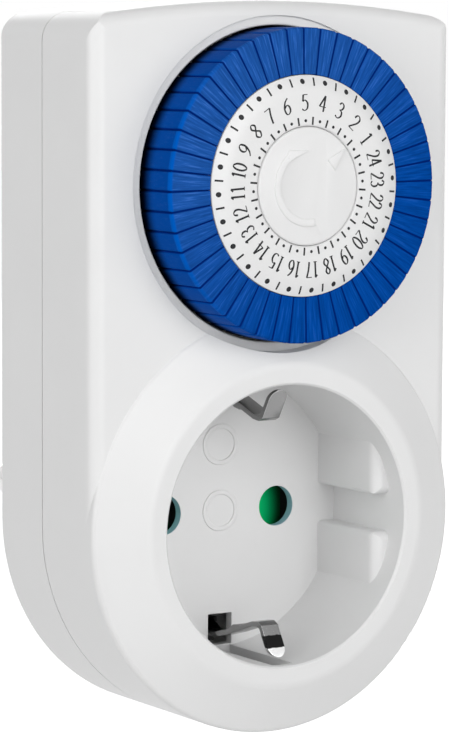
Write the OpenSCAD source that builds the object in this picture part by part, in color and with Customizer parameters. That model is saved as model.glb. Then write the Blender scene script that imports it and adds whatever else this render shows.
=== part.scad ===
// Plug-in mechanical timer switch for an earthed two-pin mains socket.
// A clockwork-style 24 hour dial sits above a through socket; the plug is on the back.
//
// Frame: +X right, +Y into the wall, +Z up. The origin is the middle of the plug's
// end face, between the two plug pins. Inside the modules a depth is measured back
// from the socket rim, and in_frame() moves the finished piece into the part's frame.

/* [Body] */
// Width of the body, also twice the radius of its round lower end
body_w = 59; // [58:1:72]
// Height of the top edge above the socket axis, at mid width
body_top = 72.4; // [72:0.2:90]
// Radius of the slightly bowed top edge
top_bow = 195; // [120:5:400]
// Radius of the two upper corners
corner_r = 4; // [2.5:0.5:6]
// Rounding between the front face and the sides
edge_r = 2; // [1:0.25:2.5]
// Rounding of the body's back edge
back_edge_r = 0.3; // [0.2:0.1:1.2]
// Wall thickness of both shells
wall = 2; // [1.6:0.1:2.4]
// Depth of the flat front face behind the socket rim
face_depth = 3.5; // [2.5:0.25:5]
// Depth of the parting line between the front and rear shells
parting_depth = 17.2; // [17:0.2:20]
// Depth of the back of the body
back_depth = 29; // [29:0.5:34]
// Open seam that shows between the two shells
seam = 0.2; // [0.1:0.05:0.4]

/* [Socket] */
// Distance between the two pin axes, on the socket and on the plug
pin_pitch = 19; // [18:0.5:20]
// Diameter of the socket recess
recess_d = 39.3; // [38.5:0.1:41]
// Depth of the socket floor behind the rim
recess_depth = 17.9; // [17:0.1:18.5]
// Outer diameter of the flat ring round the recess
rim_d = 44.8; // [43.5:0.2:50]
// Wall of the socket cup
cup_wall = 1.6; // [1.2:0.1:2]
// Thickness of the socket floor
floor_t = 1.4; // [1.2:0.1:2.4]
// Diameter of the two pin holes in the floor
pin_hole_d = 5.8; // [5.2:0.1:6.4]
// Distance between the flat faces of the key blocks
key_span = 33.6; // [32.6:0.2:35]
// Gap between the upper and the lower key block of a pair
key_gap = 5.4; // [4.8:0.2:7]
// Depth at which the key blocks begin
key_front = 3.6; // [2.5:0.1:6]
// Rounding of the key blocks' front ends
key_end_r = 1.5; // [0.8:0.1:2]

/* [Dial] */
// Height of the dial axis above the socket axis
dial_up = 47.2; // [46.5:0.1:50]
// Number of switching tabs round the dial
tab_count = 48; // [48]
// Outer diameter of the ring of tabs
tab_ring_d = 43.1; // [42:0.1:44]
// Distance that a tab stands in front of the socket rim
tab_proud = 3.3; // [2.5:0.1:5]
// Travel of a tab when it is pushed in
tab_travel = 2.5; // [1.8:0.1:2.7]
// Gap between neighbouring tabs
tab_gap = 0.25; // [0.15:0.05:0.4]
// Diameter of the printed number disc
disc_d = 30.2; // [29:0.1:31]
// Diameter of the disc's flat middle, inside its crowned border
disc_flat_d = 24; // [22:0.5:26]
// Height of that middle in front of the disc's edge
disc_crown = 0.8; // [0.4:0.1:1.2]
// Diameter of the fixed cap in the middle of the dial
cap_d = 16.2; // [14:0.2:18]
// Gap between the tabs and the edge of the dial opening
opening_gap = 0.32; // [0.2:0.02:0.6]
// Width of the shallow step round the dial opening
step_w = 1.3; // [0.8:0.1:2]
// Depth of that step below the front face
step_depth = 0.4; // [0.3:0.1:1]
// Turn of the dial at rest, as degrees of its first tab
dial_turn = 1; // [-3:0.5:3]

/* [Gears] */
// Tooth module of the gear train
gear_module = 0.5; // [0.5]
// Teeth of the ring gear inside the dial drum
ring_teeth = 48; // [48]
// Teeth of the small gear that drives the dial
drive_teeth = 12; // [12]
// Teeth of the large gear on the same arbor
wheel_teeth = 40; // [36:2:40]
// Teeth of the motor pinion
motor_teeth = 10; // [10:1:12]
// Backlash at the pitch circle
backlash = 0.12; // [0.08:0.02:0.2]

/* [Plug] */
// Distance from the socket rim to the end face of the plug
rim_to_plug = 47; // [46.5:0.5:52]
// Diameter of a plug pin
pin_d = 4.8; // [4:0.1:5]
// Diameter of a plug pin's shank in the end wall
pin_shank_d = 4; // [3:0.1:4]
// Length of a plug pin beyond the end face
pin_len = 19; // [18:0.5:20]
// Diameter of the round plug body
plug_d = 37; // [36.5:0.1:38.2]
// Wall of the plug body
plug_wall = 2.5; // [1.8:0.1:3]
// Thickness of the plug's end wall
plug_end_t = 3; // [2.5:0.1:4]
// Chamfer round the plug's end
plug_chamfer = 0.8; // [0.4:0.1:1]

/* [Contacts] */
// Thickness of the sprung earth strips
earth_t = 0.7; // [0.5:0.05:0.9]
// Width of the earth clips in the socket
clip_w = 2.8; // [2:0.1:3.4]
// Thickness of the brass strips
strip_t = 0.8; // [0.5:0.1:1]
// Width of the brass strips
strip_w = 3; // [2:0.1:3.4]
// Travel of the shutter behind the pin holes
shutter_travel = 5.6; // [5.2:0.1:5.8]

/* [Motor] */
// Diameter of the synchronous motor's can
motor_d = 28; // [24:0.5:29]
// Length of the can
motor_len = 10.6; // [8:0.1:10.8]
// Motor axis left of the dial axis
motor_left = 10.5; // [10:0.5:12]
// Motor axis above the dial axis
motor_up = 7.8; // [7:0.2:8.4]

/* [Hidden] */
$fn = 72;
eps = 0.01;
// Far enough to cut right through anything
over = 5;

// Clearances
fit_gap = 0.05;     // between a pin and its hole
slide_gap = 0.15;   // between sliding plastic pieces
loose_gap = 0.3;    // between pieces that never touch

// Roundings and broken edges of the front shell
rim_round = 2.5;    // the collar's upper edge
base_round = 0.9;   // where the collar meets the body's side
mouth_break = 0.3;  // the recess mouth
lip_break = 0.15;   // the dial opening
key_side_r = 0.6;   // the key blocks' long edges
key_corner_r = 1.2; // the corners of their front ends

// Raised rings on the socket floor
floor_ring_r = 2.95;
floor_ring_w = 0.65;
floor_ring_high = 0.12;
floor_ring_z = [0, 9.5];

// Body
body_r = body_w / 2;
recess_r = recess_d / 2;
cup_r = recess_r + cup_wall;
floor_back = recess_depth + floor_t;
inner_front = face_depth + wall;
inner_back = back_depth - wall;
front_len = parting_depth - seam / 2 - face_depth;
back_len = back_depth - parting_depth - seam / 2;
tab_r = tab_ring_d / 2;
opening_r = tab_r + opening_gap;
step_r = opening_r + step_w;
step_floor = face_depth + step_depth;
well_skirt_t = 1.4;
well_skirt_r = opening_r + loose_gap;
// Centre of a corner arc that is tangent to the side and to the bowed top
corner_x = body_r - corner_r;
bow_centre = body_top - top_bow;
corner_z = bow_centre + sqrt(pow(top_bow - corner_r, 2) - pow(corner_x, 2));

// Movement plate behind the dial, clear of the legs of pushed-in tabs
tab_leg_end = 7.4;
leg_room = 0.9;
plate_front = tab_leg_end + tab_travel + leg_room;
plate_t = 2;
plate_back = plate_front + plate_t;
plate_gap = 0.6;
plate_bottom = cup_r + 1.35;
plate_top = corner_z + 1;

// Screws: the four that close the housing, the four that hold the plate
screw_d = 2.9;
screw_head_d = 5.4;
screw_head_t = 1.7;
screw_boss_r = 2.8;
housing_screw_seat = back_depth - 4;
screw_core_depth = parting_depth - 9;
screw_head_wall = 0.8;
corner_inset = 4.6;
lower_screw_r = cup_r + screw_boss_r + loose_gap;
lower_screw_angle = 45;
lower_screw = lower_screw_r * cos(lower_screw_angle);
housing_screw_places = [
    [body_r - corner_inset, corner_z - 0.5], [-(body_r - corner_inset), corner_z - 0.5],
    [lower_screw, -lower_screw], [-lower_screw, -lower_screw]];
plate_screw_d = 2.2;
plate_screw_head_d = 4;
plate_screw_head_t = 1.3;
plate_screw_len = 4;        // into its boss
plate_boss_r = 2.3;
plate_screw_low = dial_up - 17.2;
plate_screw_high = dial_up + 12.6;
plate_screw_inset = 5.3;
plate_screw_places = [for (x = [-1, 1], z = [plate_screw_low, plate_screw_high])
    [x * (body_r - plate_screw_inset), z]];

// Dial
tab_pitch = 360 / tab_count;
tab_head_t = 2.5;
tab_inner_r = disc_d / 2 + 0.33;
tab_chamfer = 0.25;
tab_skirt_t = 1.2;
tab_skirt_end = step_floor + 0.7;   // hidden in the dial opening
tab_leg_in = tab_inner_r + 1.15;
tab_leg_out = tab_leg_in + 2.8;
tab_leg_w = 1.2;
drum_plate_front = -tab_proud + tab_head_t + tab_travel + 0.2;
drum_plate_t = 2.5;
drum_plate_back = drum_plate_front + drum_plate_t;
drum_rim_r = tab_r - tab_skirt_t - slide_gap;
drum_wall_t = 1.4;
guide_front = drum_plate_back + 0.8;
guide_t = 1.2;
post_r = 4;
sleeve_r = 5.3;
disc_edge = -tab_proud - 0.08;
disc_front = disc_edge - disc_crown;
disc_back = disc_edge + 1.08;
disc_r = disc_d / 2;
disc_flat_r = disc_flat_d / 2;
crown_r = (pow(disc_r - disc_flat_r, 2) + pow(disc_crown, 2)) / (2 * disc_crown);
cap_r = cap_d / 2;
cap_gap = 0.16;     // between the still cap and the turning disc
cap_edge_r = 0.35;
cap_front = disc_front;
cap_back = disc_edge + 0.38;
cap_stem_r = 2;
cap_stem_len = 5;
// Relief on the cap: the turning arrow's band and the time pointer
relief = 0.14;
arrow_r = 5;
arrow_w = 1;
arrow_start = -78;
arrow_end = -230;

// Gear train, each arbor's place in the X-Z plane
ring_pitch_r = gear_module * ring_teeth / 2;
drive_pitch_r = gear_module * drive_teeth / 2;
wheel_pitch_r = gear_module * wheel_teeth / 2;
motor_pitch_r = gear_module * motor_teeth / 2;
ring_back = drum_plate_back + 4;
ring_wall_r = ring_pitch_r + 0.9;
ring_wall_t = 1.6;
motor_xz = [-motor_left, dial_up + motor_up];
arbor_from_dial = ring_pitch_r - drive_pitch_r;
arbor_from_motor = wheel_pitch_r + motor_pitch_r;
motor_from_dial = norm([motor_left, motor_up]);
dial_to_motor = atan2(motor_up, -motor_left);
arbor_swing = acos((pow(arbor_from_dial, 2) + pow(motor_from_dial, 2) - pow(arbor_from_motor, 2))
    / (2 * arbor_from_dial * motor_from_dial));
dial_to_arbor = dial_to_motor + arbor_swing;
arbor_xz = [arbor_from_dial * cos(dial_to_arbor), dial_up + arbor_from_dial * sin(dial_to_arbor)];
arbor_to_motor = atan2(motor_xz[1] - arbor_xz[1], motor_xz[0] - arbor_xz[0]);
arbor_r = 1.8;
arbor_pivot_r = 1;
wheel_front = plate_back + 0.6;
wheel_t = 1.4;
motor_front = wheel_front + wheel_t + 0.8;
motor_back = motor_front + motor_len;
motor_shaft_r = 0.9;
motor_shaft_len = 3;
motor_cover_t = 0.6;
motor_end = motor_back + motor_cover_t + 0.2;
motor_pad_r = 4;
motor_lug_r = 2.2;
motor_lug_t = 0.8;
motor_lug_reach = motor_d / 2 + motor_lug_r;
motor_lug_room = 0.118;     // between the left lug and the side wall
motor_lug_turn = acos((body_r - wall - motor_lug_room - motor_lug_r - motor_left) / motor_lug_reach);
motor_lug_angles = [30, 180 + motor_lug_turn];
motor_screw_d = 1.8;
motor_screw_head_d = 3.4;
motor_screw_head_t = 1.1;
motor_screw_tip = plate_front + 1.2;

lead_r = 0.6;
lead_end_z = 17;

// Socket parts behind the floor
shutter_front = floor_back + 0.2;
shutter_t = 2.4;
shutter_back = shutter_front + shutter_t;
shutter_half_w = 4.2;
ramp_half_w = pin_hole_d / 2 + 0.2;
ramp_len = 6.4;
ramp_drop = 2;
ramp_lead = 3.3;
lug_x = 6;
lug_t = 1.2;
lug_reach = 3.4;
spring_r = 1.2;
spring_wire = 0.35;
spring_turns = 7;
spring_z = shutter_half_w + 2.1;
spring_y = floor_back + spring_r + spring_wire / 2 + 0.15;
anchor_x = -4.3;
anchor_t = 1.2;
carrier_front = shutter_back + 0.3;
carrier_t = 1.6;
carrier_back = carrier_front + carrier_t;
chamber_r = 4.6;
chamber_wall = 1;
plug_inside = rim_to_plug - plug_end_t;

// Plug body
plug_r = plug_d / 2;
plug_inner_r = plug_r - plug_wall;
key_clear = 0.4;
plug_flat = key_span / 2 - key_clear;
plug_rib = key_gap - 2 * key_clear;
groove_half_w = 2.75;
groove_floor = 16.2;
earth_w = 4.5;

// Earth clip, as points [depth, height] of the strip's middle
earth_lie = groove_floor + earth_t / 2;
clip_peak = 14.15 + earth_t / 2;
clip_tip = [2.8, 18.65];
clip_bend = [5.1, clip_peak + 0.35];
clip_path = [clip_tip + 0.5 * unit(clip_tip - clip_bend), clip_bend, [5.9, clip_peak],
    [7.2, clip_peak + 0.15], [12.8, 16.5], [floor_back - 1.8, 17.8], [floor_back + 0.5, 17.8],
    [floor_back + 3, earth_lie], [inner_back, earth_lie]];
// Shoulder on the inner side of the clip, as points [depth, height]
clip_shoulder = [[14.3, 16.7], [12.2, 15.5], [10.7, 15.25], [10.1, 15.5], [12.8, 16.4]];
earth_tuck = 3;
earth_hook = 1.2;
earth_back_path = [[floor_back + 3, earth_lie], [rim_to_plug - earth_tuck, earth_lie],
    [rim_to_plug - 1.8, groove_floor - 0.6]];
window_half_w = 2;
window_low = 14.9;
slot_half_w = 1.75;
slot_front = 1.6;
slot_r = cup_r + 0.35;
bridge_front = floor_back + 3.4;
bridge_in = 17.4;
bridge_out = 19.8;

// Live side strips
pin_x = pin_pitch / 2;
contact_base = plug_inside - 8;
contact_len = 10.5;
contact_t = 0.6;
contact_w = 5;
pin_flange_r = 3.4;
pin_flange_t = 0.8;
rivet_r = 1.6;
rivet_len = 1.3;
terminal_front = plug_inside - pin_flange_t - strip_t;
riser_z = 10.5;
feed_x = 6;
feed_z = 13.4;
feed_depth = floor_back + 0.7;
riser_depth = floor_back + 1.4;

// Switch behind the plate: lever, blade and fixed contact
switch_w = 4;
boundary_below = round((270 - dial_turn) / tab_pitch) * tab_pitch + dial_turn;
nose_r = (tab_leg_in + tab_leg_out) / 2;
nose_x = nose_r * cos(boundary_below);
nose_z = dial_up + nose_r * sin(boundary_below);
nose_w = 0.8;
nose_lift = 1.2;    // how far a pushed-in tab moves the nose
nose_front = tab_leg_end + tab_travel - nose_lift;
lever_front = plate_back + 0.8;
lever_t = 1.6;
lever_back = lever_front + lever_t;
lever_pivot_x = 17;
lever_pivot_y = (lever_front + lever_back) / 2;
lever_pin_r = 0.75;
lever_hub_r = 1.5;
lever_end_x = -1.4;
lever_half_w = 1.8;
lever_swing = asin(nose_lift / (lever_pivot_x - nose_x));
ear_t = 1.2;
ear_half_w = 1.9;
ear_z = 2.7;        // above and below the lever's middle
anchor_front = lever_back + 1.3;
blade_front = anchor_front + 0.6;
blade_t = 0.3;
blade_back = blade_front + blade_t;
blade_root_x = pin_x + strip_w / 2;
blade_end_x = -4.8;
blade_rivet_x = -3.5;
blade_rivet_r = 1.2;
blade_rivet_t = 0.8;
blade_ratio = 1.5;  // degrees of the blade for each degree of the lever
contact_gap = (blade_root_x - blade_rivet_x + blade_rivet_r) * sin(blade_ratio * lever_swing) + 0.06;
fixed_rivet_front = blade_back + blade_rivet_t + contact_gap;
stud_gap = 0.1;

// Override slider in the right side wall
slider_travel = 4;
slider_low = plate_screw_low + 5;
slider_len = 9;
slider_y = plate_front - 2.35;
slider_h = 4.8;
slider_proud = 1;
slider_ridges = 4;

PAIRS = [for (k = [1:24]) str("tab_pair_", k < 10 ? "0" : "", k)];

// ---------------------------------------------------------------- helpers

// Moves a piece from rim depths into the part's frame
module in_frame() translate([0, -rim_to_plug, 0]) children();

// A flat outline in X-Z, extruded from one depth to another
module slab(from, to)
    translate([0, to, 0]) rotate([90, 0, 0]) linear_extrude(to - from) children();

// A profile of [radius, depth] points, turned about an axis along Y at [x, z]
module turned(at = [0, 0])
    translate([at[0], 0, at[1]]) rotate([-90, 0, 0]) rotate_extrude() children();

// A round bar along Y at [x, z], from one depth to another
module rod(r, from, to, at = [0, 0])
    translate([at[0], from, at[1]]) rotate([-90, 0, 0]) cylinder(r = r, h = to - from);

// A closed tube through rings of points, each ring with the same number of sides
module tube(points, rings, sides) polyhedron(points, concat([[for (j = [sides - 1:-1:0]) j]],
    [for (i = [0:rings - 2], j = [0:sides - 1]) let (n = (j + 1) % sides)
        [i * sides + j, i * sides + n, (i + 1) * sides + n, (i + 1) * sides + j]],
    [[for (j = [0:sides - 1]) (rings - 1) * sides + j]]));

// A box given by its two corners
module block(low, high) translate(low) cube(high - low);

// Outline of a bent strip of even thickness t that follows a path of 2D points
function unit(v) = v / norm(v);
function left_of(v) = [-v[1], v[0]];
function side_at(p, i) =
    i == 0 ? left_of(unit(p[1] - p[0])) :
    i == len(p) - 1 ? left_of(unit(p[i] - p[i - 1])) :
    let (a = left_of(unit(p[i] - p[i - 1])), b = left_of(unit(p[i + 1] - p[i])), m = unit(a + b))
    m / (m * a);
function strip_outline(p, t) = concat(
    [for (i = [0:len(p) - 1]) p[i] + side_at(p, i) * t / 2],
    [for (i = [len(p) - 1:-1:0]) p[i] - side_at(p, i) * t / 2]);

// Involute gear outline. Angles are in degrees, and grow widens every tooth.
pressure = 20;
function involute(a) = tan(a) * 180 / PI - a;
function tooth_half(n, r, grow) = let (pitch_r = gear_module * n / 2, base_r = pitch_r * cos(pressure))
    90 / n + grow / 2 / pitch_r * 180 / PI + involute(pressure)
    - involute(acos(min(1, base_r / max(r, base_r))));
function at_angle(r, a) = [r * cos(a), r * sin(a)];
function gear_points(n, root_r, tip_r, grow, turn) = let (
    base_r = gear_module * n / 2 * cos(pressure),
    start_r = max(root_r, base_r),
    radii = [root_r, start_r, start_r + (tip_r - start_r) * 0.35, start_r + (tip_r - start_r) * 0.7, tip_r],
    first = root_r < base_r ? 0 : 1)
    [for (k = [0:n - 1]) let (mid = turn + k * 360 / n)
        for (p = concat(
            [for (i = [first:4]) at_angle(radii[i], mid - tooth_half(n, radii[i], grow))],
            [for (i = [4:-1:first]) at_angle(radii[i], mid + tooth_half(n, radii[i], grow))])) p];
module gear_outline(n, turn, grow = -backlash)
    polygon(gear_points(n, gear_module * (n / 2 - 1.15), gear_module * (n / 2 + 0.9), grow, turn));

// Outline of the body seen from the front, drawn in by inset
module body_outline(inset = 0) {
    r = body_r - inset;
    top_r = top_bow - inset;
    corner = max(corner_r - inset, 0.5);
    cx = r - corner;
    cz = bow_centre + sqrt(pow(top_r - corner, 2) - pow(cx, 2));
    circle(r);
    translate([-r, 0]) square([2 * r, cz]);
    intersection() {
        translate([0, bow_centre]) circle(top_r, $fn = 360);
        translate([-cx, 0]) square([2 * cx, body_top + over]);
    }
    for (s = [-1, 1]) translate([s * cx, cz]) circle(corner);
}

// ---------------------------------------------------------------- housing

// Upper body over a length, from a face at depth 0 whose edge is rounded at the sides and the top
module upper_body(len, r) intersection() {
    slab(0, len) body_outline();
    linear_extrude(body_top + over) {
        translate([-body_r, r]) square([body_w, len]);
        translate([-body_r + r, 0]) square([body_w - 2 * r, len]);
        for (s = [-1, 1]) translate([s * (body_r - r), r]) circle(r);
    }
    translate([0, 0, bow_centre]) rotate([-90, 0, 0]) rotate_extrude($fn = 360) {
        square([top_bow - r, len + over]);
        translate([0, r]) square([top_bow, len + over]);
        translate([top_bow - r, r]) circle(r, $fn = 48);
    }
}

// Keeps the lower half of a turned piece, which carries on where the upper body ends
module lower_half() intersection() {
    children();
    block([-body_w, 0, -body_w], [body_w, rim_to_plug, 0]);
}

// Two key blocks at each side of the recess, rounded towards the gap and at their front ends
module key_blocks() {
    out = recess_r + cup_wall / 2;
    low = key_gap / 2;
    high = recess_r * sin(acos(key_span / recess_d)) + 1.5;     // past where they run out
    for (s = [-1, 1], t = [-1, 1]) mirror([s < 0 ? 1 : 0, 0, 0]) mirror([0, 0, t < 0 ? 1 : 0])
        intersection() {
            slab(key_front - over, recess_depth + eps) intersection() {
                circle(out);
                rounded_corner([key_span / 2, low], [out, high], key_side_r);
            }
            linear_extrude(high)
                rounded_corner([key_span / 2, key_front], [out, recess_depth + eps], key_end_r);
            rotate([90, 0, 90]) linear_extrude(out)
                rounded_corner([key_front, low], [recess_depth + eps, high], key_corner_r);
        }
}

// A rectangle from its low to its high corner, with the low one rounded
module rounded_corner(low, high, r) {
    translate(low + [r, 0]) square(high - low - [r, 0]);
    translate(low + [0, r]) square(high - low - [0, r]);
    translate(low + [r, r]) circle(r);
}

// Takes the sharp edge off a hole of radius r where it meets the face at a depth
module edge_break(r, face, size, at = [0, 0])
    turned(at) polygon([[r - size, face - size], [r + 2 * size, face - size], [r - size, face + 2 * size]]);

// Fills a profile's corner at b, between the sides towards a and c, and leaves it rounded
module round_corner(a, b, c, r) {
    u = unit(a - b);
    v = unit(c - b);
    half = acos(u * v) / 2;
    reach = r / tan(half);
    difference() {
        polygon([b + u * reach, b, b + v * reach]);
        difference() {
            polygon([b + u * reach, b, b + v * reach]);
            translate(b + unit(u + v) * r / sin(half)) circle(r);
        }
    }
}
function cut_corner(a, b, c, r) = let (u = unit(a - b), v = unit(c - b),
    reach = r / tan(acos(u * v) / 2)) [b + u * reach, b + v * reach];

// Socket cup: flat rim, cone down to the body's edge, wall and floor, turned in one
module socket_cup() {
    rim_in = [recess_r - 1, 0];
    rim_out = [rim_d / 2, 0];
    base = [body_r, face_depth];
    side = [body_r, inner_front];
    turned() {
        polygon(concat([[0, 0]], cut_corner(rim_in, rim_out, base, rim_round),
            cut_corner(rim_out, base, side, base_round), [side, [cup_r, inner_front],
            [cup_r, floor_back], [0, floor_back]]));
        round_corner(rim_in, rim_out, base, rim_round);
        round_corner(rim_out, base, side, base_round);
    }
}

// Rails on the back of the socket floor that the shutter slides between
module shutter_guides() {
    guide_h = 0.9;
    low_z = shutter_half_w + slide_gap;
    left = -18.5;
    right = 14;
    // Lower rail along the whole slide, upper rail broken for the spring lug
    block([left, floor_back - eps, -low_z - guide_h], [right, shutter_back, -low_z]);
    for (span = [[left, anchor_x - anchor_t], [lug_x + lug_t + 0.8, right]])
        block([span[0], floor_back - eps, low_z], [span[1], shutter_back, low_z + guide_h]);
    // Post that the fixed end of the spring bears on
    block([anchor_x - anchor_t, floor_back - eps, low_z],
        [anchor_x, shutter_back, shutter_half_w + lug_reach]);
}

module front_housing() color("white") in_frame() {
    difference() {
        union() {
            difference() {
                union() {
                    translate([0, face_depth, 0]) upper_body(front_len, edge_r);
                    lower_half() rod(body_r, inner_front - 1, parting_depth - seam / 2);
                }
                slab(inner_front, parting_depth + over) body_outline(wall);
            }
            socket_cup();
            // Skirt of the dial well and the bosses inside the shell
            translate([0, 0, dial_up]) rotate([-90, 0, 0]) rotate_extrude()
                translate([well_skirt_r, inner_front - eps])
                    square([well_skirt_t, plate_front - 0.5 - inner_front]);
            for (p = housing_screw_places) rod(screw_boss_r, inner_front - eps, parting_depth, p);
            for (p = plate_screw_places) rod(plate_boss_r, inner_front - eps, plate_front, p);
        }
        // Socket recess with its pin holes, earth windows and slots behind the clips
        difference() {
            rod(recess_r, -over, recess_depth);
            key_blocks();
        }
        for (s = [-1, 1]) {
            rod(pin_hole_d / 2, 0, floor_back + over, [s * pin_x, 0]);
            mirror([0, 0, s < 0 ? 1 : 0]) {
                block([-window_half_w, recess_depth - eps, window_low],
                    [window_half_w, floor_back + eps, recess_r - 0.25]);
                block([-slot_half_w, slot_front, recess_r - 1], [slot_half_w, recess_depth, slot_r]);
            }
        }
        edge_break(recess_r, 0, mouth_break);
        // Dial opening and the step round it
        rod(opening_r, -over, inner_front + over, [0, dial_up]);
        rod(step_r, -over, step_floor, [0, dial_up]);
        edge_break(opening_r, step_floor, lip_break, [0, dial_up]);
        for (p = housing_screw_places)
            rod(screw_d / 2 + fit_gap, screw_core_depth, parting_depth + over, p);
        for (p = plate_screw_places)
            rod(plate_screw_d / 2 + fit_gap, plate_front - plate_screw_len - 0.5, plate_front + over, p);
        slider_slot();
    }
    shutter_guides();
    for (z = floor_ring_z) slab(recess_depth - floor_ring_high, recess_depth + eps) translate([0, z])
        difference() {
            circle(floor_ring_r);
            circle(floor_ring_r - floor_ring_w);
        }
}

// Slot in the right side wall, and the flat that the slider's head runs on
module slider_slot() {
    half = slider_h / 2;
    block([body_r - wall - over, slider_y - half + 1.2, slider_low - 0.2],
        [body_r + over, slider_y + half - 1.2, slider_low + slider_len + slider_travel + 0.2]);
    block([body_r - 0.8, slider_y - half - slide_gap, slider_low - 1.6],
        [body_r + over, slider_y + half + slide_gap, slider_low + slider_len + slider_travel + 1.6]);
}

module plug_outline(r) {
    difference() {
        circle(r);
        for (s = [-1, 1], t = [-1, 1]) translate([s * (plug_flat + over), t * (plug_rib / 2 + plug_r)])
            square([2 * over, plug_d], center = true);
    }
}

module rear_housing() color("white") in_frame() {
    difference() {
        union() {
            difference() {
                union() {
                    translate([0, back_depth, 0]) mirror([0, 1, 0]) upper_body(back_len, back_edge_r);
                    lower_half() turned() {
                        translate([0, back_depth - back_len]) square([body_r, back_len - back_edge_r]);
                        translate([0, back_depth - back_len]) square([body_r - back_edge_r, back_len]);
                        translate([body_r - back_edge_r, back_depth - back_edge_r]) circle(back_edge_r);
                    }
                }
                slab(parting_depth - over, inner_back) body_outline(wall);
            }
            intersection() {
                slab(back_depth - eps, rim_to_plug) plug_outline(plug_r);
                turned() polygon([[0, 0], [plug_r, 0], [plug_r, rim_to_plug - plug_chamfer],
                    [plug_r - plug_chamfer, rim_to_plug], [0, rim_to_plug]]);
            }
            // A short motor is held by a pad on the back wall
            if (motor_end < inner_back - eps) rod(motor_pad_r, motor_end, inner_back + eps, motor_xz);
            for (p = housing_screw_places) {
                rod(screw_boss_r, parting_depth, back_depth - eps, p);
                rod(screw_head_d / 2 + loose_gap + screw_head_wall, housing_screw_seat - 1.2,
                    back_depth - eps, p);
            }
        }
        // Inside of the plug body, and a pocket where a long motor meets the back wall
        rod(plug_inner_r, inner_back - over, plug_inside);
        if (motor_end > inner_back + eps)
            rod(motor_d / 2 + loose_gap, inner_back - over, motor_end, motor_xz);
        for (s = [-1, 1]) {
            rod(pin_shank_d / 2 + fit_gap, plug_inside - over, rim_to_plug + over, [s * pin_x, 0]);
            // Grooves for the earth strips, open to the inside of the housing
            mirror([0, 0, s < 0 ? 1 : 0]) {
                block([-groove_half_w, inner_back - over, groove_floor],
                    [groove_half_w, rim_to_plug + over, plug_r + over]);
                // Pocket for the strip's bent end
                block([-groove_half_w, rim_to_plug - earth_tuck - 0.4, groove_floor - earth_hook - 0.2],
                    [groove_half_w, rim_to_plug - 0.8, plug_r]);
            }
        }
        for (p = housing_screw_places) {
            rod(screw_d / 2 + loose_gap, parting_depth - over, back_depth + over, p);
            rod(screw_head_d / 2 + loose_gap, housing_screw_seat, back_depth + over, p);
        }
    }
}

// A pan head screw pointing to the front: head on its seat, cross recess in the back
module screw(d, head_d, head_t, seat, tip, at) {
    difference() {
        turned(at) polygon([[0, tip], [d / 2 - 0.5, tip], [d / 2, tip + 1], [d / 2, seat],
            [head_d / 2, seat], [head_d / 2, seat + head_t * 0.55],
            [head_d / 2 - 0.5, seat + head_t], [0, seat + head_t]]);
        translate([at[0], seat + head_t, at[1]])
            for (a = [0, 90]) rotate([0, a, 0])
                cube([head_d * 0.6, head_t, head_d * 0.14], center = true);
    }
}

module housing_screws() color("silver") in_frame()
    for (p = housing_screw_places)
        screw(screw_d, screw_head_d, screw_head_t, housing_screw_seat, screw_core_depth + 1, p);

// ---------------------------------------------------------------- movement

module movement_plate() color("lightgrey") in_frame() {
    difference() {
        union() {
            slab(plate_front, plate_back) intersection() {
                body_outline(wall + plate_gap);
                translate([-body_r, plate_bottom]) square([body_w, plate_top - plate_bottom]);
            }
            rod(post_r, cap_back, plate_front + eps, [0, dial_up]);
            // Posts for the motor's lugs
            for (a = motor_lug_angles)
                rod(motor_lug_r, plate_back - eps, motor_front,
                    motor_xz + at_angle(motor_lug_reach, a));
            // Ears that hold the lever's pin
            for (s = [-1, 1])
                block([lever_pivot_x - ear_half_w, plate_back - eps, nose_z + s * ear_z - ear_t / 2],
                    [lever_pivot_x + ear_half_w, lever_back + 0.8, nose_z + s * ear_z + ear_t / 2]);
        }
        rod(cap_stem_r + fit_gap, cap_back - over, cap_back + cap_stem_len + 1, [0, dial_up]);
        rod(arbor_r + fit_gap, plate_front - over, plate_back + over, arbor_xz);
        for (p = plate_screw_places)
            rod(plate_screw_d / 2 + loose_gap, plate_front - over, plate_back + over, p);
        for (p = housing_screw_places) if (p[1] > 0)
            rod(screw_boss_r + loose_gap, plate_front - over, plate_back + over, p);
        for (a = motor_lug_angles)
            rod(motor_screw_d / 2 + fit_gap, motor_screw_tip - 0.4, motor_front + over,
                motor_xz + at_angle(motor_lug_reach, a));
        // Window for the lever's nose
        block([nose_x - 2.4, plate_front - over, nose_z - 2.2],
            [nose_x + 2.4, plate_back + eps, nose_z + 2.2]);
        // Hole for the lever's pin
        translate([lever_pivot_x, lever_pivot_y, nose_z - 2 * over])
            cylinder(r = lever_pin_r + fit_gap, h = 4 * over);
    }
}

module plate_screws() color("silver") in_frame()
    for (p = plate_screw_places)
        screw(plate_screw_d, plate_screw_head_d, plate_screw_head_t, plate_back,
            plate_front - plate_screw_len, p);

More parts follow.
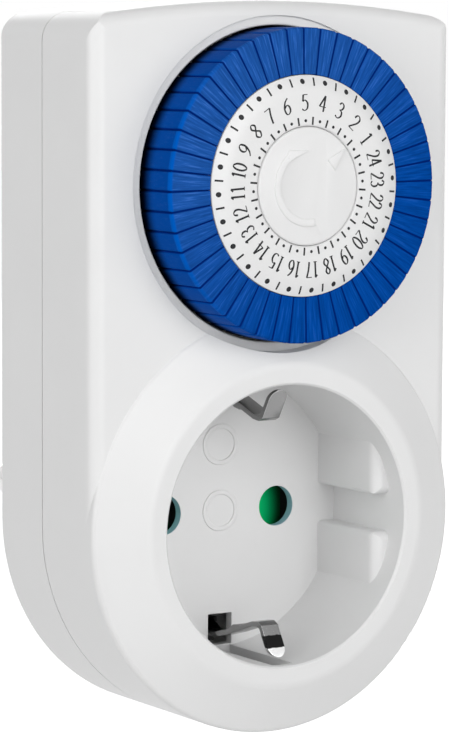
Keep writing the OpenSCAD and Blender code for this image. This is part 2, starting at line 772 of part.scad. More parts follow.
module dial_drum() color("gainsboro") in_frame() translate([0, 0, dial_up]) {
    difference() {
        rotate([-90, 0, 0]) rotate_extrude() {
            // Sleeve that turns on the post
            translate([post_r + fit_gap, cap_back + 0.3])
                square([sleeve_r - post_r - fit_gap, plate_front - 0.3 - cap_back - 0.3]);
            // Slotted plate, with the walls that carry the number disc
            translate([sleeve_r - eps, drum_plate_front])
                square([drum_rim_r - sleeve_r + eps, drum_plate_t]);
            for (r = [disc_r - drum_wall_t - 0.4, cap_r + 0.5])
                translate([r, disc_back]) square([drum_wall_t, drum_plate_front - disc_back + eps]);
            // Wall round the ring gear, and the guide ring for the tabs' legs inside their skirts
            translate([ring_wall_r, drum_plate_back - eps])
                square([ring_wall_t, ring_back - drum_plate_back + eps]);
            translate([ring_wall_r + ring_wall_t - 0.1, guide_front])
                square([drum_rim_r - ring_wall_r - ring_wall_t + 0.1, guide_t]);
        }
        for (k = [0:tab_count - 1]) rotate([0, -(dial_turn + (k + 0.5) * tab_pitch), 0])
            block([tab_leg_in - slide_gap / 2, drum_plate_front - over, -tab_leg_w / 2 - slide_gap / 2],
                [tab_leg_out + slide_gap / 2, guide_front + guide_t + eps,
                    tab_leg_w / 2 + slide_gap / 2]);
    }
    // Ring gear: its tooth spaces are the teeth of an external gear
    difference() {
        rod(ring_pitch_r + 1.2, drum_plate_back - eps, ring_back);
        slab(drum_plate_back - over, ring_back + over)
            polygon(gear_points(ring_teeth, ring_pitch_r - 0.9 * gear_module,
                ring_pitch_r + 1.15 * gear_module, backlash, dial_to_arbor));
    }
}

// Disc with a flat middle and a crowned border, open in the middle for the cap
module number_disc() color("white") in_frame() turned([0, dial_up]) {
    bore = cap_r + cap_gap;
    high = disc_back - disc_front;
    translate([bore, disc_front + cap_edge_r]) square([disc_flat_r - bore, high - cap_edge_r]);
    translate([bore + cap_edge_r, disc_front]) square([disc_flat_r - bore - cap_edge_r, high]);
    translate([bore + cap_edge_r, disc_front + cap_edge_r]) circle(cap_edge_r);
    intersection() {
        translate([disc_flat_r, disc_front + crown_r]) circle(crown_r);
        translate([disc_flat_r, disc_front]) square([disc_r - disc_flat_r, high]);
    }
}

// Cap with a rounded edge and a stem, and on it the turning arrow and the time pointer
module centre_cap() color("white") in_frame() {
    turned([0, dial_up]) {
        translate([0, cap_front + cap_edge_r]) square([cap_r, cap_back - cap_front - cap_edge_r]);
        translate([0, cap_front]) square([cap_r - cap_edge_r, cap_back - cap_front]);
        translate([cap_r - cap_edge_r, cap_front + cap_edge_r]) circle(cap_edge_r);
        translate([0, cap_back - eps]) square([cap_stem_r, cap_stem_len + eps]);
    }
    translate([0, 0, dial_up]) slab(cap_front - relief, cap_front + eps) {
        arrow_band();
        polygon([at_angle(arrow_r + arrow_w / 2, arrow_end), [-3.29, 4.92], [-0.1, 4.83], [-2, 3.96],
            at_angle(arrow_r - arrow_w / 2, arrow_end)]);
        polygon([[5.95, 5.09], [3.1, 3.57], [4.32, 2.11]]);
    }
}

// The arrow's curved band, clockwise from its start to its end
module arrow_band() difference() {
    circle(arrow_r + arrow_w / 2);
    circle(arrow_r - arrow_w / 2);
    rotate(arrow_start) square([cap_r, cap_r]);
    polygon([[0, 0], at_angle(cap_r, arrow_start + 88), at_angle(2 * cap_r, 70), at_angle(2 * cap_r, 120),
        at_angle(cap_r, arrow_end)]);
}

// One tab, pointing along +X, its middle on the X axis
module tab() {
    half_in = tab_inner_r * tan(tab_pitch / 2) - tab_gap / 2;
    half_out = tab_r * tan(tab_pitch / 2) - tab_gap / 2;
    nick = 0.3;
    intersection() {
        translate([0, 0, -over]) linear_extrude(2 * over) polygon([[tab_inner_r, -tab_proud],
            [tab_r - tab_chamfer, -tab_proud], [tab_r, -tab_proud + tab_chamfer],
            [tab_r, tab_skirt_end], [tab_r - tab_skirt_t, tab_skirt_end],
            [tab_r - tab_skirt_t, -tab_proud + tab_head_t], [tab_inner_r, -tab_proud + tab_head_t]]);
        slab(-tab_proud - over, tab_skirt_end + over) polygon([[tab_inner_r, -half_in],
            [tab_r - nick, -half_out], [tab_r, -half_out + nick], [tab_r, half_out - nick],
            [tab_r - nick, half_out], [tab_inner_r, half_in]]);
    }
    block([tab_leg_in, -tab_proud + tab_head_t - eps, -tab_leg_w / 2],
        [tab_leg_out, tab_leg_end, tab_leg_w / 2]);
}

// The two half-hour tabs of one hour, number 1 to 24 counter-clockwise
module tab_pair(hour) color("royalblue") in_frame() translate([0, 0, dial_up])
    for (k = [2 * hour - 2, 2 * hour - 1])
        rotate([0, -(dial_turn + (k + 0.5) * tab_pitch), 0]) tab();

// Small gear in the dial's ring gear and large gear on one moulded arbor
module arbor_gear() color("ivory") in_frame() translate([arbor_xz[0], 0, arbor_xz[1]]) {
    slab(drum_plate_back + 0.5, ring_back - 0.1) gear_outline(drive_teeth, dial_to_arbor);
    rod(arbor_r, ring_back - 0.1 - eps, wheel_front + eps);
    slab(wheel_front, wheel_front + wheel_t) gear_outline(wheel_teeth, arbor_to_motor);
    rod(arbor_pivot_r, wheel_front + wheel_t - eps, motor_front + 1);
}

module motor_pinion() color("gold") in_frame() translate([motor_xz[0], 0, motor_xz[1]]) {
    slab(wheel_front - 0.1, wheel_front + wheel_t + 0.2)
        gear_outline(motor_teeth, arbor_to_motor + 180 + 180 / motor_teeth);
    rod(motor_shaft_r, wheel_front + wheel_t, motor_front + motor_shaft_len);
}

module motor_can() color("silver") in_frame() {
    difference() {
        union() {
            turned(motor_xz) polygon([[0, motor_front], [motor_d / 2 - 0.6, motor_front],
                [motor_d / 2, motor_front + 0.6], [motor_d / 2, motor_back], [0, motor_back]]);
            for (a = motor_lug_angles) slab(motor_front, motor_front + motor_lug_t)
                translate(motor_xz) rotate(a) {
                    translate([motor_lug_reach, 0]) circle(motor_lug_r);
                    translate([motor_d / 2 - 2, -motor_lug_r])
                        square([motor_lug_reach - motor_d / 2 + 2, 2 * motor_lug_r]);
                }
        }
        rod(motor_shaft_r + fit_gap, motor_front - over, motor_front + motor_shaft_len + 0.3, motor_xz);
        rod(arbor_pivot_r + fit_gap, motor_front - over, motor_front + 1.2, arbor_xz);
        for (a = motor_lug_angles)
            rod(motor_screw_d / 2 + loose_gap, motor_front - over, motor_front + over,
                motor_xz + at_angle(motor_lug_reach, a));
    }
}

module motor_cover() color("dimgrey") in_frame()
    rod(motor_d / 2 - 0.8, motor_back, motor_back + motor_cover_t, motor_xz);

module motor_screws() color("silver") in_frame()
    for (a = motor_lug_angles)
        screw(motor_screw_d, motor_screw_head_d, motor_screw_head_t, motor_front + motor_lug_t,
            motor_screw_tip, motor_xz + at_angle(motor_lug_reach, a));

// Two insulated leads that drop from the motor's rim to the strips that feed it
module motor_leads() color("dimgrey") in_frame()
    for (lead = [[-pin_x, -pin_x, riser_depth + strip_t], [-pin_x + 3.5, feed_x, feed_depth + strip_t]]) {
        sides = 8;
        start_y = motor_back - 3;
        end_y = lead[2] + lead_r + 0.02;
        stops = [[lead[0], start_y, 0], [lead[0], max(start_y, end_y), plate_bottom + 11],
            [lead[1], end_y, plate_bottom + 2], [lead[1], end_y, lead_end_z]];
        // The first ring follows the curve of the can
        points = [for (i = [0:3], a = [0:360 / sides:359]) let (p = stops[i] + lead_r * [cos(a), sin(a), 0])
            i > 0 ? p : [p[0], p[1], motor_xz[1] - sqrt(pow(motor_d / 2 + 0.03, 2)
                - pow(p[0] - motor_xz[0], 2))]];
        tube(points, 4, sides);
    }

// ---------------------------------------------------------------- socket

// Slides left when both pins press on its ramps
module shutter() color("green") in_frame() difference() {
    union() {
        block([-pin_x - ramp_lead - 0.4, shutter_front, -shutter_half_w],
            [pin_x - ramp_lead + ramp_len, shutter_back, shutter_half_w]);
        block([lug_x, shutter_front, shutter_half_w - eps],
            [lug_x + lug_t, shutter_back, shutter_half_w + lug_reach]);
    }
    for (s = [-1, 1]) translate([s * pin_x - ramp_lead, 0, -ramp_half_w])
        linear_extrude(2 * ramp_half_w) polygon([[0, shutter_front - eps],
            [ramp_len + eps, shutter_front + ramp_drop], [ramp_len + eps, shutter_front - over]]);
    // Opening that comes behind the left hole when the shutter is open
    block([-pin_x - ramp_lead + ramp_len, shutter_front - over, -ramp_half_w],
        [-pin_x + shutter_travel + pin_hole_d / 2, shutter_back + over, ramp_half_w]);
}

// Helical spring between the post on the socket floor and the shutter's lug
module shutter_spring() color("silver") in_frame() {
    sides = 6;
    steps = 14;
    length = lug_x - anchor_x - spring_wire - 0.1;
    count = spring_turns * steps;
    points = [for (i = [0:count]) let (a = i * 360 / steps, x = length * i / count)
        for (j = [0:sides - 1]) let (b = j * 360 / sides, r = spring_r + spring_wire / 2 * cos(b))
            [x + spring_wire / 2 * sin(b), r * cos(a), r * sin(a)]];
    translate([anchor_x + spring_wire / 2 + 0.05, spring_y, spring_z]) tube(points, count + 1, sides);
}

// Insulating insert: a plate behind the shutter and a chamber round each contact
module contact_carrier() color("dimgrey") in_frame() difference() {
    union() {
        slab(carrier_front, carrier_back) square([2 * (pin_x + chamber_r + chamber_wall), 13], center = true);
        for (s = [-1, 1])
            rod(chamber_r + chamber_wall, carrier_back - eps, plug_inside, [s * pin_x, 0]);
    }
    for (s = [-1, 1]) {
        rod(pin_hole_d / 2, carrier_front - over, carrier_back + over, [s * pin_x, 0]);
        rod(chamber_r, carrier_back, plug_inside + over, [s * pin_x, 0]);
    }
    // Slots for the strips that leave the chambers upwards
    for (s = [-1, 1]) translate([s * pin_x, 0, 0])
        block([-strip_w / 2 - 0.3, contact_base - 0.4, 0],
            [strip_w / 2 + 0.3, plug_inside + over, chamber_r + chamber_wall + over]);
}

module earth_strip() color("silver") {
    intersection() {
        rotate([90, 0, 90]) translate([0, 0, -clip_w / 2]) linear_extrude(clip_w) {
            polygon(strip_outline(clip_path, earth_t));
            polygon(clip_shoulder);
        }
        // Rounds the tip of the clip, seen from the front
        slab(-over, back_depth) {
            translate([0, clip_tip[1] - clip_w / 2 + 0.1]) circle(clip_w / 2);
            translate([-clip_w / 2, 0]) square([clip_w, clip_tip[1] - clip_w / 2 + 0.1]);
        }
    }
    rotate([90, 0, 90]) translate([0, 0, -earth_w / 2]) linear_extrude(earth_w)
        polygon(strip_outline(earth_back_path, earth_t));
}
module earth_strip_upper() in_frame() earth_strip();
module earth_strip_lower() in_frame() mirror([0, 0, 1]) earth_strip();

// Half ring on the neutral side that joins the two earth strips
module earth_bridge() color("silver") in_frame() difference() {
    rod(bridge_out, bridge_front, bridge_front + strip_t);
    difference() {
        rod(bridge_in, bridge_front - over, bridge_front + over);
        // Tabs that lie on the outside of the two strips
        for (s = [-1, 1]) mirror([0, 0, s < 0 ? 1 : 0])
            block([-2, bridge_front - over, groove_floor + earth_t],
                [2, bridge_front + over, plug_d]);
    }
    block([2, bridge_front - over, -plug_d], [plug_d, bridge_front + over, plug_d]);
}

// Sprung contact that grips a plug pin between two leaves
module pin_contact() {
    pinch = pin_d / 2 - 0.2;
    mouth = contact_base - contact_len;
    leaf = [[pinch + 1.2, mouth], [pinch, mouth + 3], [pinch + 0.3, mouth + 5.5],
        [pinch + 0.7, contact_base - 0.5]];
    path = concat(leaf, [[pinch + 0.4, contact_base], [-pinch - 0.4, contact_base]],
        [for (i = [3:-1:0]) [-leaf[i][0], leaf[i][1]]]);
    translate([0, 0, -contact_w / 2]) linear_extrude(contact_w) polygon(strip_outline(path, contact_t));
}

module socket_contact_neutral() color("goldenrod") in_frame() translate([-pin_x, 0, 0]) pin_contact();

// Live contact: its tail climbs to the switch and ends behind the blade's root
module socket_contact_live() color("goldenrod") in_frame() {
    half = strip_w / 2;
    translate([pin_x, 0, 0]) pin_contact();
    block([pin_x - half, contact_base - contact_t / 2, contact_w / 2 - 0.5],
        [pin_x + half, contact_base - contact_t / 2 + strip_t, riser_z + strip_t / 2]);
    block([pin_x - half, riser_depth, riser_z - strip_t / 2],
        [pin_x + half, contact_base, riser_z + strip_t / 2]);
    block([pin_x - half, riser_depth, riser_z - strip_t / 2],
        [pin_x + half, riser_depth + strip_t, cup_r + 2.6]);
    block([pin_x - half, anchor_front, cup_r + 1.8],
        [pin_x + half, riser_depth + strip_t, cup_r + 2.6]);
    block([pin_x - half, anchor_front, cup_r + 1.8], [pin_x + half, blade_front, nose_z + switch_w / 2]);
}

// Plug pin with a round tip: its shoulder is on the end wall's outside, its flange on the inside,
// and a rivet holds its strip
module plug_pin(s) in_frame() turned([s * pin_x, 0]) difference() {
    union() {
        translate([0, plug_inside]) square([pin_shank_d / 2, plug_end_t]);
        translate([0, rim_to_plug]) square([pin_d / 2, pin_len - pin_d / 2]);
        translate([0, rim_to_plug + pin_len - pin_d / 2]) intersection() {
            circle(pin_d / 2);
            square(pin_d);
        }
        translate([0, plug_inside - pin_flange_t]) square([pin_flange_r, pin_flange_t]);
        translate([0, terminal_front - 0.5]) square([rivet_r, rivet_len + 0.5]);
    }
    translate([-pin_d, 0]) square([pin_d, 2 * rim_to_plug]);
}
module plug_pin_live() color("silver") plug_pin(1);
module plug_pin_neutral() color("silver") plug_pin(-1);

// Strip under the live pin's flange that feeds the fixed contact
module live_strip() color("goldenrod") in_frame() {
    half = strip_w / 2;
    back = terminal_front + strip_t;
    jog = 7.5;
    difference() {
        slab(terminal_front, back) {
            translate([pin_x, 0]) circle(pin_flange_r - 0.4);
            translate([pin_x - half, 0]) square([strip_w, jog + half]);
            translate([feed_x - half, jog - half]) square([pin_x - feed_x + strip_w, strip_w]);
            translate([feed_x - half, jog]) square([strip_w, feed_z + strip_t / 2 - jog]);
        }
        rod(rivet_r + fit_gap, terminal_front - over, back + over, [pin_x, 0]);
    }
    block([feed_x - half, feed_depth, feed_z - strip_t / 2], [feed_x + half, back, feed_z + strip_t / 2]);
    block([feed_x - half, feed_depth, feed_z - strip_t / 2],
        [feed_x + half, feed_depth + strip_t, nose_z - switch_w / 2 - 0.3]);
}

// Link from the neutral pin to the neutral contact
module neutral_strip() color("goldenrod") in_frame() {
    half = strip_w / 2;
    reach = 3.6;
    difference() {
        slab(terminal_front, terminal_front + strip_t) {
            translate([-pin_x, 0]) circle(pin_flange_r - 0.4);
            translate([-pin_x - half, 0]) square([strip_w, riser_z + strip_t / 2]);
        }
        rod(rivet_r + fit_gap, terminal_front - over, terminal_front + over, [-pin_x, 0]);
    }
    block([-pin_x - half, riser_depth, riser_z - strip_t / 2],
        [-pin_x + half, terminal_front + strip_t, riser_z + strip_t / 2]);
    block([-pin_x - half, riser_depth, riser_z - strip_t / 2],
        [-pin_x + half, riser_depth + strip_t, lead_end_z + 2]);
    block([-pin_x - half, contact_base + contact_t / 2, reach - strip_t],
        [-pin_x + half, terminal_front + strip_t, reach]);
    block([-pin_x - half, contact_base + contact_t / 2, 0.5],
        [-pin_x + half, contact_base + contact_t / 2 + strip_t, reach]);
}

// ---------------------------------------------------------------- switch

module fixed_contact() color("goldenrod") in_frame() {
    low = nose_z - switch_w / 2;
    block([blade_end_x - 0.5, feed_depth, low], [feed_x + strip_w / 2, feed_depth + strip_t,
        low + switch_w]);
    block([feed_x - strip_w / 2, feed_depth, low - 0.3],
        [feed_x + strip_w / 2, feed_depth + strip_t, low + eps]);
    rod(blade_rivet_r, fixed_rivet_front, feed_depth + eps, [blade_rivet_x, nose_z]);
}

module contact_blade() color("goldenrod") in_frame() {
    half = switch_w / 2;
    block([blade_end_x, blade_front, nose_z - half], [blade_root_x, blade_back, nose_z + half]);
    rod(blade_rivet_r, blade_back - eps, blade_back + blade_rivet_t, [blade_rivet_x, nose_z]);
    rod(blade_rivet_r - 0.3, blade_front - 0.3, blade_front + eps, [blade_rivet_x, nose_z]);
}

// Lever whose nose feels for pushed-in tabs through the plate's window
module switch_lever() color("ivory") in_frame() difference() {
    union() {
        block([lever_end_x, lever_front, nose_z - lever_half_w],
            [lever_pivot_x, lever_back, nose_z + lever_half_w]);
        translate([lever_pivot_x, lever_pivot_y, nose_z - lever_half_w])
            cylinder(r = lever_hub_r, h = 2 * lever_half_w);
        translate([nose_x, 0, nose_z - 1.2]) linear_extrude(2.4) polygon([[-1.1, lever_front + eps],
            [-nose_w / 2, nose_front + 1], [-0.15, nose_front], [0.15, nose_front],
            [nose_w / 2, nose_front + 1], [1.1, lever_front + eps]]);
        rod(1, lever_back - eps, blade_front - stud_gap, [nose_x, nose_z]);
    }
    translate([lever_pivot_x, lever_pivot_y, nose_z - over])
        cylinder(r = lever_pin_r + fit_gap, h = 2 * over);
}

module lever_pin() color("silver") in_frame()
    translate([lever_pivot_x, lever_pivot_y, nose_z - ear_z - 0.9])
        cylinder(r = lever_pin_r, h = 2 * (ear_z + 0.9));

// Slider for timed or permanent supply: ridged head, neck through the wall, inner foot
module override_slider() color("dimgrey") in_frame() {
    half = slider_h / 2;
    low = slider_low + 0.1;
    pitch = slider_len / (slider_ridges + 1);
    block([body_r - 0.65, slider_y - half, low], [body_r + slider_proud - 0.5, slider_y + half,
        low + slider_len]);
    for (k = [1:slider_ridges])
        block([body_r - 0.65, slider_y - half + 0.4, low + k * pitch - 0.4],
            [body_r + slider_proud, slider_y + half - 0.4, low + k * pitch + 0.4]);
    block([body_r - wall - 0.3, slider_y - half + 1.35, low + 0.1],
        [body_r - 0.6, slider_y + half - 1.35, low + slider_len - 0.1]);
    block([body_r - wall - 1.3, slider_y - half + 0.4, low + 0.1],
        [body_r - wall - 0.15, slider_y + half - 0.4, low + slider_len - 0.1]);
}

// ---------------------------------------------------------------- nodes

front_housing();
rear_housing();
housing_screws();
movement_plate();
plate_screws();
dial_drum();
number_disc();
centre_cap();
arbor_gear();
motor_can();
motor_cover();
motor_pinion();
motor_screws();
motor_leads();
shutter();
shutter_spring();
contact_carrier();
earth_strip_upper();
earth_strip_lower();
earth_bridge();
socket_contact_live();
socket_contact_neutral();
plug_pin_live();
plug_pin_neutral();
live_strip();
neutral_strip();
fixed_contact();
contact_blade();
switch_lever();
lever_pin();
override_slider();
for (k = [1:24]) tab_pair(k);
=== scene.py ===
import math

import bmesh
import bpy
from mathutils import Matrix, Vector


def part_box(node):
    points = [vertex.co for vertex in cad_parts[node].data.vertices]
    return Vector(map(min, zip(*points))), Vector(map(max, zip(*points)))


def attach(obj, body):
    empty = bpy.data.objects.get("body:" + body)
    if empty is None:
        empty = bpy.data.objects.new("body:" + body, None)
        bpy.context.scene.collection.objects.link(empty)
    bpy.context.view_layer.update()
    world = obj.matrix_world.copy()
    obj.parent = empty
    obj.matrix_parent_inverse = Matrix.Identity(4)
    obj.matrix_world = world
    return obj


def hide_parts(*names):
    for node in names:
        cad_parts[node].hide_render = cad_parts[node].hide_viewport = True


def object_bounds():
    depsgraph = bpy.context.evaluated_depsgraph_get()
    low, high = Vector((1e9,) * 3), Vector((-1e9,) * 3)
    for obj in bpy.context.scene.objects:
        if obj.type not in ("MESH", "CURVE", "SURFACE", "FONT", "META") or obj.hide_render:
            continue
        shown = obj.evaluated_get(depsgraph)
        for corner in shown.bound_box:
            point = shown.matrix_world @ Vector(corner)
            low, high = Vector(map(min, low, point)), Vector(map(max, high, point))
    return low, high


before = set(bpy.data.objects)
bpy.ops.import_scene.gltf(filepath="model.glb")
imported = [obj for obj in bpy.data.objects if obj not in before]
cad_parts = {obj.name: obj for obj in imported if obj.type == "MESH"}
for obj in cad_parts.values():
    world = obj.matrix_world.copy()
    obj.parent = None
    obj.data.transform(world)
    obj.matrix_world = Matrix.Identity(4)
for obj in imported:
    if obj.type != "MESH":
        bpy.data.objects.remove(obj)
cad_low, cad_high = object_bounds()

# ---------------------------------------------------------------- studio
# The camera looks at the timer from the left front and a little above, through a long lens.
# Soft boxes light it on a pale floor, and the room round it reads as white.
MM = 0.001
camera_place = (-0.249248, -0.422353, 0.067191)
camera_turn = (84.626, -0.249, -32.289)


def add_object(name, data):
    """An object in the scene for a mesh, a lamp or a camera."""
    made = bpy.data.objects.new(name, data)
    bpy.context.scene.collection.objects.link(made)
    return made


camera_data = bpy.data.cameras.new("view_camera")
camera_data.lens = 161.41
camera_data.shift_x = 0.00914
camera_data.shift_y = -0.02608
camera_data.clip_start = 0.01
camera = add_object("view_camera", camera_data)
camera.location = camera_place
camera.rotation_euler = [math.radians(a) for a in camera_turn]
bpy.context.scene.camera = camera
bpy.context.scene.view_settings.view_transform = "Standard"


def add_node(tree, kind, inputs=None, **properties):
    """One shader or geometry node, with its properties set and its inputs set or linked."""
    made = tree.nodes.new(kind)
    for name, value in properties.items():
        setattr(made, name, value)
    for socket, value in (inputs or {}).items():
        if isinstance(value, bpy.types.NodeSocket):
            tree.links.new(value, made.inputs[socket])
        else:
            made.inputs[socket].default_value = value
    return made


def calculate(tree, operation, *values):
    """A number worked out by one Math node."""
    return add_node(tree, "ShaderNodeMath", dict(enumerate(values)), operation=operation).outputs[0]


def new_material(name):
    """A material with an empty tree, and that tree."""
    material = bpy.data.materials.new(name)
    material.use_nodes = True
    material.node_tree.nodes.clear()
    return material, material.node_tree


def seen_directly(tree):
    """1 for rays from the camera, a mirror or glass, 0 for the rays that only carry light."""
    path = add_node(tree, "ShaderNodeLightPath")
    either = calculate(tree, "MAXIMUM", path.outputs["Is Camera Ray"], path.outputs["Is Glossy Ray"])
    return calculate(tree, "MAXIMUM", either, path.outputs["Is Transmission Ray"])


# The room is an even grey light that reads as white wherever it is looked at
room_light = 0.25
world = bpy.data.worlds.new("studio")
bpy.context.scene.world = world
world.use_nodes = True
sky = world.node_tree
sky.nodes.clear()
grey = add_node(sky, "ShaderNodeBackground", {"Color": (1, 1, 1, 1), "Strength": room_light})
white = add_node(sky, "ShaderNodeBackground", {"Color": (1, 1, 1, 1), "Strength": 1.0})
room = add_node(sky, "ShaderNodeMixShader", {0: seen_directly(sky), 1: grey.outputs[0], 2: white.outputs[0]})
add_node(sky, "ShaderNodeOutputWorld", {"Surface": room.outputs[0]})

# The floor keeps the timer's soft shadow and glows enough to read as white. It is clear from below
floor_drop = 60 * MM
floor_half = 3.0
floor_grey = 0.78
floor_glow = 0.8
floor_corners = ((-1, -1), (1, -1), (1, 1), (-1, 1))
floor_mesh = bpy.data.meshes.new("floor")
floor_mesh.from_pydata(
    [(x * floor_half, y * floor_half, cad_low.z - floor_drop) for x, y in floor_corners], [], [(0, 1, 2, 3)])
floor = add_object("floor", floor_mesh)
floor_paint, paint = new_material("floor_paint")
matt = add_node(paint, "ShaderNodeBsdfDiffuse", {"Color": (floor_grey, floor_grey, floor_grey, 1)})
glow = add_node(paint, "ShaderNodeEmission", {"Color": (1, 1, 1, 1), "Strength": floor_glow})
glowing = add_node(paint, "ShaderNodeAddShader", {0: matt.outputs[0], 1: glow.outputs[0]})
top_side = add_node(paint, "ShaderNodeMixShader",
                    {0: seen_directly(paint), 1: matt.outputs[0], 2: glowing.outputs[0]})
below = add_node(paint, "ShaderNodeNewGeometry").outputs["Backfacing"]
clear = add_node(paint, "ShaderNodeBsdfTransparent")
one_sided = add_node(paint, "ShaderNodeMixShader", {0: below, 1: top_side.outputs[0], 2: clear.outputs[0]})
add_node(paint, "ShaderNodeOutputMaterial", {"Surface": one_sided.outputs[0]})
floor_mesh.materials.append(floor_paint)

timer_middle = (cad_low + cad_high) / 2


def soft_lamp(name, place, size, watts):
    """A square soft box at a place, turned to shine at the timer."""
    data = bpy.data.lights.new(name, "AREA")
    data.shape = "SQUARE"
    data.size = size
    data.energy = watts
    lamp = add_object(name, data)
    lamp.location = place
    lamp.rotation_euler = (timer_middle - Vector(place)).to_track_quat("-Z", "Y").to_euler()


soft_lamp("front_box", (0.0, -1.3, 0.15), size=0.8, watts=4.15)
soft_lamp("near_box", (-0.02, -0.6, 0.31), size=0.4, watts=0.85)
soft_lamp("left_box", (-1.2, -0.25, 0.15), size=0.7, watts=4.1)
soft_lamp("upper_left_box", (-0.45, -0.3, 0.22), size=0.35, watts=0.55)
soft_lamp("right_box", (0.7, -1.0, 0.2), size=0.7, watts=1.9)
soft_lamp("back_box", (0.5, 1.2, 0.5), size=0.8, watts=4.0)
soft_lamp("plug_side_box", (0.1, 1.3, 0.15), size=0.8, watts=3.0)

# ---------------------------------------------------------------- housings
# The front and the rear shell are injection moulded in white plastic with a satin surface, and four
# screws from behind close them. The skin has a very fine grain and hardly any change of tone.


def vector_math(tree, operation, *values, output="Vector"):
    """A vector, or a number with the output Value, worked out by one Vector Math node."""
    made = add_node(tree, "ShaderNodeVectorMath", dict(enumerate(values)), operation=operation)
    return made.outputs[output]


def fade(tree, value, low, high, start=0.0, end=1.0, smooth=False):
    """Goes from start to end while a value goes from low to high, and stays there beyond."""
    return add_node(tree, "ShaderNodeMapRange",
                    {"Value": value, "From Min": low, "From Max": high, "To Min": start, "To Max": end},
                    interpolation_type="SMOOTHSTEP" if smooth else "LINEAR").outputs[0]


def mixed(tree, factor, under, over, blend="MIX"):
    """One colour over another. Each is three numbers or a socket."""
    sides = [side if isinstance(side, bpy.types.NodeSocket) else (*side, 1) for side in (under, over)]
    return add_node(tree, "ShaderNodeMix", {"Factor": factor, "A": sides[0], "B": sides[1]},
                    data_type="RGBA", blend_type=blend).outputs["Result"]


def brighter(colour, times):
    """A colour made brighter, at most up to white."""
    return [min(1.0, part * times) for part in colour]


def bumped(tree, depth, height, normal):
    """A normal with a fine relief, its depth in millimetres."""
    return add_node(tree, "ShaderNodeBump", {"Strength": 1.0, "Distance": depth * MM, "Height": height,
                                             "Normal": normal}).outputs[0]


def surface(tree, inputs):
    """Ends a material in one Principled surface."""
    skin = add_node(tree, "ShaderNodeBsdfPrincipled", inputs)
    add_node(tree, "ShaderNodeOutputMaterial", {"Surface": skin.outputs[0]})


def new_group(name, inputs, outputs):
    """An empty shader group. Inputs are (name, kind, default) and outputs (name, kind)."""
    group = bpy.data.node_groups.new(name, "ShaderNodeTree")
    for socket, kind, default in inputs:
        made = group.interface.new_socket(socket, in_out="INPUT", socket_type="NodeSocket" + kind)
        made.default_value = default
    for socket, kind in outputs:
        group.interface.new_socket(socket, in_out="OUTPUT", socket_type="NodeSocket" + kind)
    return group, group.nodes.new("NodeGroupInput"), group.nodes.new("NodeGroupOutput")


def make_grain_group():
    """Fine grain of a moulded skin: a height for the bump, and a slow change of tone and gloss."""
    clouds_per_metre = 70.0
    detail = 3.0
    group, given, result = new_group(
        "moulded_grain",
        [("Grains per metre", "Float", 3000.0), ("Tone change", "Float", 0.02)],
        [("Height", "Float"), ("Tone", "Float"), ("Gloss", "Float")])
    place = add_node(group, "ShaderNodeTexCoord").outputs["Object"]
    grain = add_node(group, "ShaderNodeTexNoise",
                     {"Vector": place, "Scale": given.outputs["Grains per metre"], "Detail": detail})
    cloud = add_node(group, "ShaderNodeTexNoise",
                     {"Vector": place, "Scale": clouds_per_metre, "Detail": detail})
    darkest = calculate(group, "SUBTRACT", 1.0, given.outputs["Tone change"])
    group.links.new(grain.outputs[0], result.inputs["Height"])
    group.links.new(fade(group, cloud.outputs[0], 0.35, 0.65, darkest, 1.0), result.inputs["Tone"])
    group.links.new(fade(group, cloud.outputs[0], 0.3, 0.7), result.inputs["Gloss"])
    return group


def make_edge_group():
    """Rounds the look of sharp edges: a softened normal, and a mask that is 1 on the very edge."""
    barely_turned = 0.995
    fully_turned = 0.85
    group, given, result = new_group("soft_edges", [("Radius", "Float", 0.0002)],
                                     [("Normal", "Vector"), ("Edge", "Float")])
    soft = add_node(group, "ShaderNodeBevel", {"Radius": given.outputs[0]}, samples=4).outputs[0]
    true = add_node(group, "ShaderNodeNewGeometry").outputs["Normal"]
    match = vector_math(group, "DOT_PRODUCT", soft, true, output="Value")
    group.links.new(soft, result.inputs["Normal"])
    group.links.new(fade(group, match, barely_turned, fully_turned), result.inputs["Edge"])
    return group


grain_group = make_grain_group()
edge_group = make_edge_group()


def moulded(name, colour, roughness, grains=3000.0, depth=0.004, tone=0.02, edge_highlight=1.03, specular=0.5):
    """Moulded plastic: fine grain, slow change of tone and gloss, and a painted highlight along the edges."""
    edge_radius = 0.15
    gloss_change = 0.04
    material, tree = new_material(name)
    grain = add_node(tree, "ShaderNodeGroup", {"Grains per metre": grains, "Tone change": tone},
                     node_tree=grain_group)
    edges = add_node(tree, "ShaderNodeGroup", {"Radius": edge_radius * MM}, node_tree=edge_group)
    body = mixed(tree, 1.0, colour, grain.outputs["Tone"], "MULTIPLY")
    surface(tree, {
        "Base Color": mixed(tree, edges.outputs["Edge"], body, brighter(colour, edge_highlight)),
        "Roughness": fade(tree, grain.outputs["Gloss"], 0.0, 1.0, roughness - gloss_change,
                          roughness + gloss_change),
        "Normal": bumped(tree, depth, grain.outputs["Height"], edges.outputs["Normal"]),
        "Specular IOR Level": specular})
    return material


def dress(material, *names):
    """Gives CAD nodes their finish."""
    for name in names:
        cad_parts[name].material_slots[0].material = material


# The white shells get a painted highlight along their edges
white_shell = moulded("white_shell", (0.80, 0.80, 0.80), 0.38, edge_highlight=1.16)
dress(white_shell, "front_housing", "rear_housing")

# ---------------------------------------------------------------- socket
# Behind the two pin holes of the recess a green shutter slides sideways. Two sprung earth clips,
# stamped from strip and nickel plated, reach in at the top and the bottom.
green_shutter = moulded("green_shutter", (0.0, 0.58, 0.18), 0.42, grains=2200.0, tone=0.06, specular=0.15)
dress(green_shutter, "shutter")
shutter_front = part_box("shutter")[0].y
ramp_drop = 2.0 * MM
ramp_shade = 0.08


